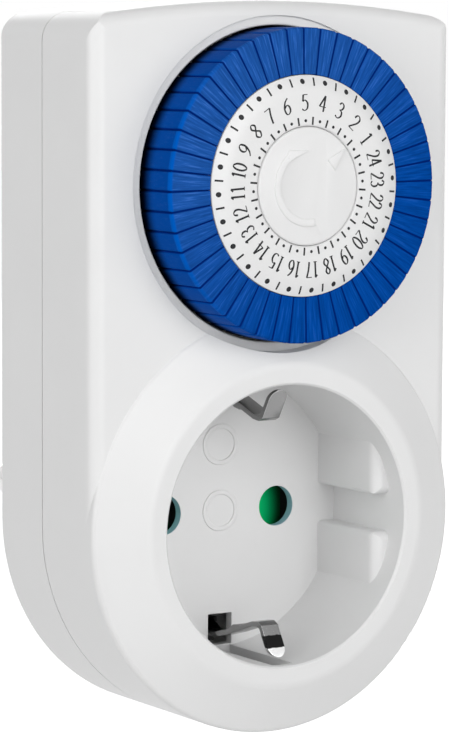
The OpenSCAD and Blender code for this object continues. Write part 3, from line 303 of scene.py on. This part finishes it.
def base_colour(material):
    """A material's tree, the base colour's input, and the socket that feeds it."""
    tree = material.node_tree
    skin = next(n for n in tree.nodes if n.type == "BSDF_PRINCIPLED")
    colour = skin.inputs["Base Color"]
    return tree, colour, colour.links[0].from_socket


def shade_ramps():
    """Painted shade: the shutter's ramps get darker the deeper they fall away behind the holes."""
    tree, colour, clean = base_colour(green_shutter)
    place = add_node(tree, "ShaderNodeTexCoord").outputs["Object"]
    depth = add_node(tree, "ShaderNodeSeparateXYZ", {0: place}).outputs["Y"]
    light = fade(tree, depth, shutter_front + ramp_drop / 4, shutter_front + ramp_drop, 1.0, ramp_shade,
                 smooth=True)
    tree.links.new(mixed(tree, 1.0, clean, light, "MULTIPLY"), colour)


def patch(material, low, high, tint, ripple=0.0):
    """Another colour inside a box given by two corners, with a border rippled by some millimetres."""
    ripples_per_metre = 1500.0
    border = 0.02
    tree, colour, clean = base_colour(material)
    place = add_node(tree, "ShaderNodeTexCoord").outputs["Object"]
    wave = add_node(tree, "ShaderNodeTexNoise", {"Vector": place, "Scale": ripples_per_metre, "Detail": 2.0})
    shift = vector_math(tree, "SUBTRACT", wave.outputs["Color"], (0.5, 0.5, 0.5))
    moved = vector_math(tree, "MULTIPLY_ADD", shift, [ripple * MM] * 3, place)
    centre = [(a + b) / 2 for a, b in zip(low, high)]
    half = [(b - a) / 2 for a, b in zip(low, high)]
    share = vector_math(tree, "DIVIDE", vector_math(tree, "SUBTRACT", moved, centre), half)
    sides = add_node(tree, "ShaderNodeSeparateXYZ", {0: vector_math(tree, "ABSOLUTE", share)})
    widest = calculate(tree, "MAXIMUM", sides.outputs[0], sides.outputs[1])
    reach = calculate(tree, "MAXIMUM", widest, sides.outputs[2])
    tree.links.new(mixed(tree, fade(tree, reach, 1.0, 1.0 - border), clean, tint), colour)


shade_ramps()
# Painted reflection: the walls of the holes between the shutter and the recess are painted bluish green, for
# the green light the shutter throws on them
pin_x = 9.5 * MM
hole_r = 2.95 * MM
hole_start = -29.07 * MM
hole_end = -27.5 * MM
painted_green_bounce = (0.40, 0.60, 0.76)
for hole_x in (-pin_x, pin_x):
    patch(white_shell, (hole_x - hole_r, hole_start, -hole_r), (hole_x + hole_r, hole_end, hole_r), painted_green_bounce)


def make_streak_group():
    """Fine straight marks along one direction, as rolling, drawing or demoulding leaves them."""
    group, given, result = new_group(
        "drawn_marks",
        [("Place", "Vector", (0, 0, 0)), ("Stretch", "Vector", (1, 1, 1)),
         ("Marks per metre", "Float", 4000.0)],
        [("Height", "Float"), ("Mark", "Float")])
    drawn = vector_math(group, "MULTIPLY", given.outputs["Place"], given.outputs["Stretch"])
    marks = add_node(group, "ShaderNodeTexNoise",
                     {"Vector": drawn, "Scale": given.outputs["Marks per metre"], "Detail": 4.0,
                      "Roughness": 0.6})
    group.links.new(marks.outputs[0], result.inputs["Height"])
    group.links.new(fade(group, marks.outputs[0], 0.55, 0.75), result.inputs["Mark"])
    return group


streak_group = make_streak_group()


def metal(name, colour, roughness, stretch=(1, 0.05, 1), marks=5000.0, edge_radius=0.06, edge_glint=1.15):
    """Stamped, drawn or plated metal with faint marks along one axis and a painted highlight along its edges.
    """
    mark_depth = 0.003
    tone_change = 0.12
    gloss_change = 0.12
    material, tree = new_material(name)
    place = add_node(tree, "ShaderNodeTexCoord").outputs["Object"]
    streak = add_node(tree, "ShaderNodeGroup",
                      {"Place": place, "Stretch": stretch, "Marks per metre": marks}, node_tree=streak_group)
    grain = add_node(tree, "ShaderNodeGroup", {"Tone change": tone_change}, node_tree=grain_group)
    edges = add_node(tree, "ShaderNodeGroup", {"Radius": edge_radius * MM}, node_tree=edge_group)
    body = mixed(tree, 1.0, colour, grain.outputs["Tone"], "MULTIPLY")
    surface(tree, {
        "Base Color": mixed(tree, edges.outputs["Edge"], body, brighter(colour, edge_glint)),
        "Metallic": 1.0,
        "Roughness": fade(tree, streak.outputs["Mark"], 0.0, 1.0, roughness, roughness + gloss_change),
        "Normal": bumped(tree, mark_depth, streak.outputs["Height"], edges.outputs["Normal"])})
    return material


def merged_copy(node, name, material):
    """A CAD node's mesh as a new piece: corners joined and the flat faces whole again."""
    weld = 0.001 * MM
    flat_angle = math.radians(0.5)
    shell = bmesh.new()
    shell.from_mesh(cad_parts[node].data)
    bmesh.ops.remove_doubles(shell, verts=shell.verts, dist=weld)
    bmesh.ops.dissolve_limit(shell, angle_limit=flat_angle, verts=shell.verts, edges=shell.edges)
    for face in shell.faces:
        face.material_index = 0
    mesh = bpy.data.meshes.new(name)
    shell.to_mesh(mesh)
    shell.free()
    if "custom_normal" in mesh.attributes:
        mesh.attributes.remove(mesh.attributes["custom_normal"])
    mesh.materials.clear()
    mesh.materials.append(material)
    return add_object(name, mesh)


def settle(piece):
    """Applies a piece's modifiers and leaves it a plain mesh with smooth faces and crisp edges."""
    crisp_angle = math.radians(35)
    bpy.context.view_layer.update()
    done = bpy.data.meshes.new_from_object(piece.evaluated_get(bpy.context.evaluated_depsgraph_get()))
    piece.modifiers.clear()
    done.name = piece.name
    piece.data = done
    done.shade_smooth()
    done.set_sharp_from_angle(angle=crisp_angle)


def round_edges(piece, width, segments=2, angle=30):
    """Rounds the edges of a piece by a width in millimetres."""
    bevel = piece.modifiers.new("edges", "BEVEL")
    bevel.width = width * MM
    bevel.segments = segments
    bevel.limit_method = "ANGLE"
    bevel.angle_limit = math.radians(angle)
    bevel.use_clamp_overlap = True
    settle(piece)


def round_bends(piece, width, least):
    """Rounds the bends of a strip: its blunt edges that run straight across it for a least length."""
    least_turn = 0.2
    most_turn = 1.35
    shell = bmesh.new()
    shell.from_mesh(piece.data)
    bends = [e for e in shell.edges
             if len(e.link_faces) == 2 and abs(e.verts[0].co.x - e.verts[1].co.x) > least * MM
             and least_turn < e.calc_face_angle(0.0) < most_turn]
    bmesh.ops.bevel(shell, geom=bends, offset=width * MM, segments=4, profile=0.5, affect="EDGES",
                    clamp_overlap=True)
    shell.to_mesh(piece.data)
    shell.free()


# The clip metal gets a strong painted highlight along its edges
earth_metal = metal("earth_metal", (0.26, 0.26, 0.26), 0.2, edge_radius=0.12, edge_glint=2.4)
# A painted dark reflection darkens the lower clip's front leg, and a painted highlight brightens its tip
clip_side = 3 * MM
clip_back = -41 * MM
leg_front = -45 * MM
tip_front = -46 * MM
leg_top = -15.9 * MM
tip_top = -17.5 * MM
tip_end = -19.6 * MM
patch_ripple = 0.4
painted_dark_reflection = (0.015, 0.015, 0.015)
painted_tip_highlight = (0.78, 0.78, 0.78)
patch(earth_metal, (-clip_side, leg_front, tip_top), (clip_side, clip_back, leg_top), painted_dark_reflection, patch_ripple)
patch(earth_metal, (-clip_side, tip_front, tip_end), (clip_side, clip_back, tip_top), painted_tip_highlight,
      patch_ripple)
dress(earth_metal, "earth_bridge")
strip_edge = 0.14
strip_bend = 0.5
strip_half_width = 2.0
for name in ("earth_strip_upper", "earth_strip_lower"):
    strip = merged_copy(name, name.replace("earth_strip", "earth_spring"), earth_metal)
    round_bends(strip, strip_bend, strip_half_width)
    round_edges(strip, strip_edge, segments=3)
    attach(strip, "case")
    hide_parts(name)

# ---------------------------------------------------------------- programming dial
# A ring of 48 blue tabs slides in the slotted drum, one for each half hour. The tabs are moulded
# from tough plastic, and drawing them from the mould leaves fine marks along their length.
dial_low, dial_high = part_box("number_disc")
dial_centre = (dial_low + dial_high) / 2
dial_z = dial_centre.z
hours = 24
tab_step = math.tau / hours / 2
tab_turn = math.radians(1)
tab_ring_r = 21.55 * MM
face_depth = -50.0 * MM


def make_polar_group():
    """Place on the dial as (angle, radius, depth), so that a pattern can run along the radius."""
    group, given, result = new_group("round_the_dial", [("Centre", "Vector", (0, 0, 0))],
                                     [("Place", "Vector")])
    place = add_node(group, "ShaderNodeTexCoord").outputs["Object"]
    arm = vector_math(group, "SUBTRACT", place, given.outputs["Centre"])
    parts = add_node(group, "ShaderNodeSeparateXYZ", {0: arm})
    angle = calculate(group, "ARCTAN2", parts.outputs["Z"], parts.outputs["X"])
    flat = add_node(group, "ShaderNodeCombineXYZ", {"X": parts.outputs["X"], "Z": parts.outputs["Z"]})
    radius = vector_math(group, "LENGTH", flat.outputs[0], output="Value")
    polar = add_node(group, "ShaderNodeCombineXYZ", {0: angle, 1: radius, 2: parts.outputs["Y"]})
    group.links.new(polar.outputs[0], result.inputs[0])
    return group


polar_group = make_polar_group()


def hazed_faces(tree, angle, on_face, streak):
    """Blue with fine pale marks, and a painted sheen on the faces at one side, where the marks are also
    painted to show most.
    """
    blue = (0.0005, 0.062, 0.333)
    sheen_blue = (0.013, 0.092, 0.380)
    marks_and_sheen = (0.050, 0.156, 0.500)
    sheen_angle = math.radians(130)
    sheen_from, sheen_to = -0.6, 0.7
    fewest_marks, most_marks = 0.15, 0.7
    tone_change = 0.20
    near = calculate(tree, "COSINE", calculate(tree, "SUBTRACT", angle, sheen_angle))
    sheen_mask = calculate(tree, "MULTIPLY", fade(tree, near, sheen_from, sheen_to), on_face)
    share = fade(tree, sheen_mask, 0.0, 1.0, fewest_marks, most_marks)
    mark = calculate(tree, "MULTIPLY", streak.outputs["Mark"], share)
    marked = mixed(tree, mark, mixed(tree, sheen_mask, blue, sheen_blue), marks_and_sheen)
    tone = fade(tree, streak.outputs["Height"], 0.36, 0.64, 1 - tone_change, 1 + tone_change)
    return mixed(tree, on_face, marked, tone, "MULTIPLY")


def rubbed_corners(tree, angle, radius, depth, colour):
    """Painted highlight on the outer corners of the tabs, most of all at the left of the dial."""
    corner_highlight = (0.0, 0.100, 0.500)
    highlight_width = 0.55 * MM
    highlight_depth = 0.5 * MM
    highlight_full = 0.2 * MM
    left_from, left_to = -0.45, -0.95
    outward = fade(tree, radius, tab_ring_r - highlight_width, tab_ring_r - highlight_full)
    forward = fade(tree, depth, face_depth + highlight_depth, face_depth + highlight_full)
    left = fade(tree, calculate(tree, "COSINE", angle), left_from, left_to)
    corner = calculate(tree, "MULTIPLY", outward, forward)
    return mixed(tree, calculate(tree, "MULTIPLY", corner, left), colour, corner_highlight)


def shaded_sides(tree, angle, depth, colour):
    """Painted shade: the tabs' sides darken into grooves, and their skirts get dark towards the drum."""
    groove_shade = (0.0, 0.021, 0.185)
    groove_share = 0.085
    groove_full = 0.4 * groove_share
    shade_start = -46.2 * MM
    shade_end = -43.2 * MM
    darkest = 0.02
    steps = calculate(tree, "MULTIPLY_ADD", angle, 1 / tab_step, -tab_turn / tab_step)
    share = calculate(tree, "FRACT", steps)
    off_middle = calculate(tree, "ABSOLUTE", calculate(tree, "SUBTRACT", share, 0.5))
    fall = fade(tree, off_middle, 0.5 - groove_share, 0.5 - groove_full, smooth=True)
    shade = fade(tree, depth, shade_start, shade_end, 1.0, darkest, smooth=True)
    return mixed(tree, 1.0, mixed(tree, fall, colour, groove_shade), shade, "MULTIPLY")


def make_tab_blue():
    """Blue satin plastic with fine pale marks along each tab, with painted sheen, highlights and shade."""
    calm = (0.420, 0.450, 0.520)
    edge_radius = 0.12
    mark_depth = 0.04
    marks_per_metre = 3600.0
    mark_stretch = (tab_ring_r, 0.07, 0.25)
    face_start = face_depth + 0.3 * MM
    smooth, marked = 0.36, 0.5
    specular = 0.005
    material, tree = new_material("blue_tab")
    polar = add_node(tree, "ShaderNodeGroup", {"Centre": (dial_centre.x, 0, dial_z)},
                     node_tree=polar_group).outputs[0]
    streak = add_node(tree, "ShaderNodeGroup",
                      {"Place": polar, "Stretch": mark_stretch, "Marks per metre": marks_per_metre},
                      node_tree=streak_group)
    edges = add_node(tree, "ShaderNodeGroup", {"Radius": edge_radius * MM}, node_tree=edge_group)
    angle, radius, depth = add_node(tree, "ShaderNodeSeparateXYZ", {0: polar}).outputs
    on_face = fade(tree, depth, face_start, face_depth)
    colour = hazed_faces(tree, angle, on_face, streak)
    colour = rubbed_corners(tree, angle, radius, depth, colour)
    colour = shaded_sides(tree, angle, depth, colour)
    # The light that the tabs throw on the white shell round them is kept nearly grey
    path = add_node(tree, "ShaderNodeLightPath")
    surface(tree, {
        "Base Color": mixed(tree, path.outputs["Is Diffuse Ray"], colour, calm),
        "Roughness": fade(tree, streak.outputs["Mark"], 0.0, 1.0, smooth, marked),
        "Normal": bumped(tree, mark_depth, streak.outputs["Height"], edges.outputs["Normal"]),
        "Specular IOR Level": specular})
    return material


blue_tab = make_tab_blue()
tab_edge = 0.14
side_growth = 0.10 * MM
leg_half = 0.7 * MM
inner_end_r = 15.8 * MM
inner_growth = 0.24 * MM


def fill_out_heads(tabs):
    """Makes the heads a little fuller, so that thin grooves part them. The legs stay as they are."""
    for vertex in tabs.data.vertices:
        arm = Vector((vertex.co.x - dial_centre.x, vertex.co.z - dial_z))
        angle = math.atan2(arm.y, arm.x) - tab_turn
        past = angle - (math.floor(angle / tab_step) + 0.5) * tab_step
        across = Vector((-arm.y, 0, arm.x)).normalized()
        if abs(past) * arm.length > leg_half:
            vertex.co += across * math.copysign(side_growth, past)
        if arm.length < inner_end_r:
            vertex.co -= Vector((arm.x, 0, arm.y)).normalized() * inner_growth


for hour in range(1, hours + 1):
    node = f"tab_pair_{hour:02d}"
    tabs = merged_copy(node, f"blue_tabs_{hour:02d}", blue_tab)
    fill_out_heads(tabs)
    round_edges(tabs, tab_edge)
    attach(tabs, f"tabs_{hour:02d}")
    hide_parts(node)

natural_plastic = moulded("natural_plastic", (0.60, 0.60, 0.57), 0.45, tone=0.05)
dress(natural_plastic, "dial_drum", "movement_plate")

# ---------------------------------------------------------------- number disc
# A white plastic disc is pressed into the middle of the drum. Its face is flat in the middle and
# falls off in a round edge, and the scale is printed on it in dark grey.
disc_white = moulded("white_print", (0.785, 0.785, 0.785), 0.32, grains=4200.0, depth=0.002, tone=0.01)
disc_front = dial_low.y
disc_bore_r = 8.6 * MM
bore_growth = 0.1 * MM
disc_flat_r = 12.0
disc_crown_r = 6.406
print_lift = 0.012
print_depth = 0.03
disc = merged_copy("number_disc", "scale_disc", disc_white)
# The bore fits closely round the cap
for vertex in disc.data.vertices:
    flat = Vector((vertex.co.x - dial_centre.x, 0, vertex.co.z - dial_z))
    if flat.length < disc_bore_r:
        vertex.co -= flat.normalized() * bore_growth
settle(disc)
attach(disc, "dial")
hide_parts("number_disc")


def make_ink():
    """Dark printing ink, a little uneven where the pad left less of it."""
    full = (0.009, 0.009, 0.010)
    thin = (0.030, 0.030, 0.033)
    spots_per_metre = 2500.0
    material, tree = new_material("scale_ink")
    place = add_node(tree, "ShaderNodeTexCoord").outputs["Object"]
    spots = add_node(tree, "ShaderNodeTexNoise", {"Vector": place, "Scale": spots_per_metre, "Detail": 2.0})
    colour = mixed(tree, fade(tree, spots.outputs[0], 0.3, 0.75), full, thin)
    surface(tree, {"Base Color": colour, "Roughness": 0.5, "Specular IOR Level": 0.2})
    return material


scale_ink = make_ink()


def crown_offset(tree, given):
    """How far back the crowned border of the disc lies behind its flat middle, at each point."""
    crown = given.outputs["Crown radius"]
    place = add_node(tree, "GeometryNodeInputPosition").outputs[0]
    arm = vector_math(tree, "SUBTRACT", place, given.outputs["Centre"])
    flat = vector_math(tree, "MULTIPLY", arm, (1, 0, 1))
    radius = vector_math(tree, "LENGTH", flat, output="Value")
    past = calculate(tree, "SUBTRACT", radius, given.outputs["Flat radius"])
    border = calculate(tree, "MAXIMUM", past, 0.0)
    rest = calculate(tree, "SUBTRACT", calculate(tree, "MULTIPLY", crown, crown),
                     calculate(tree, "MULTIPLY", border, border))
    drop = calculate(tree, "SUBTRACT", crown, calculate(tree, "SQRT", rest))
    return add_node(tree, "ShaderNodeCombineXYZ", {"Y": drop}).outputs[0]


def tick_shape(tree, given):
    """One tick, cut across so that it can follow the crown."""
    size = add_node(tree, "ShaderNodeCombineXYZ", {"X": given.outputs["Length"], "Y": given.outputs["Width"],
                                                   "Z": given.outputs["Depth"]})
    return add_node(tree, "GeometryNodeMeshCube", {"Size": size.outputs[0], "Vertices X": 5})


def dot_shape(tree, given):
    """One round dot."""
    radius = calculate(tree, "MULTIPLY", given.outputs["Width"], 0.5)
    return add_node(tree, "GeometryNodeMeshCylinder", {"Vertices": 20, "Radius": radius,
                                                       "Depth": given.outputs["Depth"]})


def make_scale_tree(name, shape):
    """Geometry nodes for one ring of printed marks: even steps round the dial, laid on its face."""
    tree = bpy.data.node_groups.new(name, "GeometryNodeTree")
    tree.interface.new_socket("Geometry", in_out="OUTPUT", socket_type="NodeSocketGeometry")
    sizes = [("Count", "Int"), ("Radius", "Float"), ("First angle", "Float"), ("Length", "Float"),
             ("Width", "Float"), ("Depth", "Float"), ("Flat radius", "Float"), ("Crown radius", "Float"),
             ("Centre", "Vector"), ("Ink", "Material")]
    for socket, kind in sizes:
        tree.interface.new_socket(socket, in_out="INPUT", socket_type="NodeSocket" + kind)
    given = tree.nodes.new("NodeGroupInput")
    result = tree.nodes.new("NodeGroupOutput")
    turn = calculate(tree, "DIVIDE", math.tau, given.outputs["Count"])
    index = add_node(tree, "GeometryNodeInputIndex").outputs[0]
    step = calculate(tree, "MULTIPLY_ADD", index, turn, given.outputs["First angle"])
    round_x = calculate(tree, "MULTIPLY", calculate(tree, "COSINE", step), given.outputs["Radius"])
    round_y = calculate(tree, "MULTIPLY", calculate(tree, "SINE", step), given.outputs["Radius"])
    spot = add_node(tree, "ShaderNodeCombineXYZ", {"X": round_x, "Y": round_y})
    spin = add_node(tree, "ShaderNodeCombineXYZ", {"Z": step})
    places = add_node(tree, "GeometryNodePoints",
                      {"Count": given.outputs["Count"], "Position": spot.outputs[0]})
    copies = add_node(tree, "GeometryNodeInstanceOnPoints", {"Points": places.outputs[0],
                                                             "Instance": shape(tree, given).outputs["Mesh"],
                                                             "Rotation": spin.outputs[0]})
    solid = add_node(tree, "GeometryNodeRealizeInstances", {"Geometry": copies.outputs[0]})
    upright = add_node(tree, "GeometryNodeTransform", {"Geometry": solid.outputs[0],
                                                       "Rotation": (math.radians(90), 0, 0),
                                                       "Translation": given.outputs["Centre"]})
    laid = add_node(tree, "GeometryNodeSetPosition", {"Geometry": upright.outputs[0],
                                                      "Offset": crown_offset(tree, given)})
    printed = add_node(tree, "GeometryNodeSetMaterial", {"Geometry": laid.outputs[0],
                                                         "Material": given.outputs["Ink"]})
    tree.links.new(printed.outputs[0], result.inputs[0])
    return tree


tick_tree = make_scale_tree("scale_ticks", tick_shape)
dot_tree = make_scale_tree("scale_dots", dot_shape)


def ring_of_marks(name, tree, **values):
    """One printed ring from a scale tree, as a plain mesh that turns with the dial."""
    piece = add_object(name, bpy.data.meshes.new(name))
    modifier = piece.modifiers.new("scale", "NODES")
    modifier.node_group = tree
    sockets = {item.name: item.identifier for item in tree.interface.items_tree if item.in_out == "INPUT"}
    for socket, value in values.items():
        modifier[sockets[socket.replace("_", " ")]] = value
    settle(piece)
    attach(piece, "dial")


hour_step = 360 / hours
hour_zero = 18.45       # degrees from +X to where hour 0 would stand, counted against the clock
half_hour = hour_zero + hour_step / 2
print_centre = (dial_centre.x, disc_front + (print_depth / 2 - print_lift) * MM, dial_z)
# Each ring's tree, radius, first angle in degrees, length of a tick, and width of a tick or dot
marks = {
    "outer_ticks": (tick_tree, 14.20, half_hour, 1.12, 0.26),
    "outer_dots": (dot_tree, 14.24, hour_zero, 0, 0.72),
    "inner_ticks": (tick_tree, 8.90, half_hour, 1.08, 0.27),
    "inner_dots": (dot_tree, 8.92, hour_zero, 0, 0.43),
}
for name, (tree, radius, first, length, width) in marks.items():
    ring_of_marks(name, tree, Count=hours, Radius=radius * MM, First_angle=math.radians(first),
                  Length=length * MM, Width=width * MM, Depth=print_depth * MM, Flat_radius=disc_flat_r * MM,
                  Crown_radius=disc_crown_r * MM, Centre=print_centre, Ink=scale_ink)

# The numerals are drawn as a broad pen would: strokes that go up or down are thick, level ones thin.
# Each digit is a few smooth strokes through points in a cell one wide and one high
digit_strokes = {
    "0": [[(0.5, 1), (0.12, 0.75), (0.08, 0.3), (0.45, 0), (0.85, 0.25), (0.9, 0.72), (0.5, 1)]],
    "1": [[(0.2, 0.84), (0.5, 1)], [(0.5, 1), (0.5, 0)], [(0.22, 0.02), (0.78, 0.02)]],
    "2": [[(0.1, 0.74), (0.22, 0.93), (0.52, 1), (0.86, 0.84), (0.8, 0.58), (0.42, 0.28), (0.06, 0.03)],
          [(0.06, 0.03), (0.95, 0.03)]],
    "3": [[(0.12, 0.84), (0.4, 1), (0.78, 0.86), (0.72, 0.62), (0.38, 0.52)],
          [(0.38, 0.53), (0.78, 0.44), (0.86, 0.18), (0.48, 0), (0.06, 0.1)]],
    "4": [[(0.7, 1), (0.7, 0)], [(0.7, 1), (0.04, 0.3)], [(0.04, 0.3), (0.98, 0.3)]],
    "5": [[(0.3, 0.97), (0.92, 0.97)], [(0.3, 0.97), (0.2, 0.56)],
          [(0.2, 0.56), (0.55, 0.63), (0.88, 0.42), (0.8, 0.12), (0.4, 0), (0.06, 0.1)]],
    "6": [[(0.86, 0.98), (0.4, 0.78), (0.1, 0.4), (0.2, 0.08), (0.5, 0), (0.84, 0.16), (0.84, 0.42),
           (0.55, 0.57), (0.16, 0.42)]],
    "7": [[(0.06, 0.96), (0.95, 0.96)], [(0.95, 0.96), (0.6, 0.5), (0.42, 0)]],
    "8": [[(0.5, 1), (0.18, 0.8), (0.5, 0.53), (0.86, 0.27), (0.5, 0), (0.1, 0.24), (0.5, 0.53),
           (0.84, 0.8), (0.5, 1)]],
    "9": [[(0.12, 0.02), (0.58, 0.22), (0.88, 0.6), (0.78, 0.92), (0.5, 1), (0.16, 0.84), (0.14, 0.58),
           (0.45, 0.43), (0.84, 0.58)]],
}
digit_high = 2.2
single_wide = 1.12
paired_wide = 0.95
digit_advance = 1.05
pen_thick = 0.27
pen_thin = 0.12
number_radius = 11.42


def smooth_path(points):
    """Points of a smooth curve through the given ones. Two points give a straight line."""
    steps = 7
    closed = points[0] == points[-1]
    head = points[-2] if closed else points[0]
    tail = points[1] if closed else points[-1]
    chain = [Vector(p) for p in (head, *points, tail)]
    path = []
    for i in range(1, len(chain) - 2):
        a, b, c, d = chain[i - 1:i + 3]
        for s in range(steps):
            t = s / steps
            path.append(0.5 * (2 * b + (c - a) * t + (2 * a - 5 * b + 4 * c - d) * t * t
                               + (3 * b - a - 3 * c + d) * t * t * t))
    return path + [chain[-2]]


def pen_stroke(shell, path, to_disc):
    """One stroke of the pen as a closed strip, thin where it runs level and thick where it is steep."""
    steepness = 1.5
    rows = []
    for i, point in enumerate(path):
        ahead = path[min(i + 1, len(path) - 1)] - path[max(i - 1, 0)]
        side = Vector((-ahead.y, ahead.x)).normalized()
        width = pen_thin + (pen_thick - pen_thin) * abs(ahead.normalized().y) ** steepness
        rows.append([to_disc(point + side * s * width / 2, d) for d in (0, print_depth) for s in (1, -1)])
    rings = [[shell.verts.new(corner) for corner in (row[0], row[1], row[3], row[2])] for row in rows]
    for near, far in zip(rings, rings[1:]):
        for k in range(4):
            shell.faces.new((near[k], near[(k + 1) % 4], far[(k + 1) % 4], far[k]))
    shell.faces.new(rings[0][::-1])
    shell.faces.new(rings[-1])


def make_numerals():
    """The hours 1 to 24, tops outward, as one printed piece."""
    shell = bmesh.new()
    for hour in range(1, hours + 1):
        angle = math.radians(hour_zero + hour_step * hour)
        out = Vector((math.cos(angle), math.sin(angle)))
        along = Vector((out.y, -out.x))
        text = str(hour)
        digit_wide = single_wide if len(text) == 1 else paired_wide
        for place, digit in enumerate(text):
            shift = (place - (len(text) - 1) / 2) * digit_advance

            def to_disc(p, depth):
                flat = along * (shift + p.x) + out * (number_radius + p.y)
                border = max(flat.length - disc_flat_r, 0.0)
                drop = disc_crown_r - math.sqrt(disc_crown_r ** 2 - border ** 2)
                return (dial_centre.x + flat.x * MM, disc_front + (drop + depth - print_lift) * MM,
                        dial_z + flat.y * MM)

            for stroke in digit_strokes[digit]:
                sized = [((x - 0.5) * digit_wide, (y - 0.5) * digit_high) for x, y in stroke]
                pen_stroke(shell, smooth_path(sized), to_disc)
    bmesh.ops.recalc_face_normals(shell, faces=shell.faces)
    mesh = bpy.data.meshes.new("numerals")
    shell.to_mesh(mesh)
    shell.free()
    mesh.materials.append(scale_ink)
    return add_object("numerals", mesh)


numerals = make_numerals()
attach(numerals, "dial")

# ---------------------------------------------------------------- centre cap
# A white cap sits still on the dial's post. Moulded on it are a raised arrow that shows the turning
# direction and a small triangle that points at the time of day.
cap_edge = 0.05
cap = merged_copy("centre_cap", "dial_cap", white_shell)
round_edges(cap, cap_edge, angle=60)
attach(cap, "case")
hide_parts("centre_cap")

# ---------------------------------------------------------------- plug side
# Two nickel plated brass pins stand on the round plug body, between the flat earth strips.
# Steel screws with a cross recess hold the shells together.
pin_metal = metal("pin_metal", (0.72, 0.715, 0.70), 0.18, stretch=(1, 0.4, 1), marks=3000.0)
dress(pin_metal, "plug_pin_live", "plug_pin_neutral")
screw_steel = metal("screw_steel", (0.55, 0.56, 0.57), 0.3, stretch=(1, 1, 1), marks=6000.0)
dress(screw_steel, "housing_screws", "plate_screws", "motor_screws", "lever_pin")

# ---------------------------------------------------------------- works inside
# Behind the dial are the synchronous motor, its double gear, the switch and the brass strips.
# Gears and lever are moulded, strips and contacts are stamped, and an insert holds them apart.
motor_steel = metal("motor_steel", (0.58, 0.59, 0.60), 0.32, stretch=(1, 0.08, 1), marks=3500.0)
dress(motor_steel, "motor_can")
gear_plastic = moulded("gear_plastic", (0.78, 0.74, 0.62), 0.42, tone=0.04)
dress(gear_plastic, "arbor_gear", "switch_lever")
pinion_brass = metal("pinion_brass", (0.72, 0.53, 0.22), 0.22, stretch=(1, 1, 1), marks=5000.0)
dress(pinion_brass, "motor_pinion")
brass_strip = metal("brass_strip", (0.74, 0.56, 0.25), 0.28, stretch=(1, 1, 0.06), marks=4500.0)
dress(brass_strip, "socket_contact_live", "socket_contact_neutral", "live_strip", "neutral_strip",
      "fixed_contact", "contact_blade")
# The dark insulation gets a strong painted highlight along its edges
dark_insulation = moulded("dark_insulation", (0.035, 0.035, 0.04), 0.5, tone=0.2, edge_highlight=1.6)
dress(dark_insulation, "contact_carrier", "motor_cover", "override_slider")
spring_steel = metal("spring_steel", (0.45, 0.46, 0.48), 0.25, stretch=(0.3, 1, 1))
dress(spring_steel, "shutter_spring")
lead_cover = moulded("lead_cover", (0.012, 0.012, 0.013), 0.55, tone=0.15, edge_highlight=1.0)
dress(lead_cover, "motor_leads")
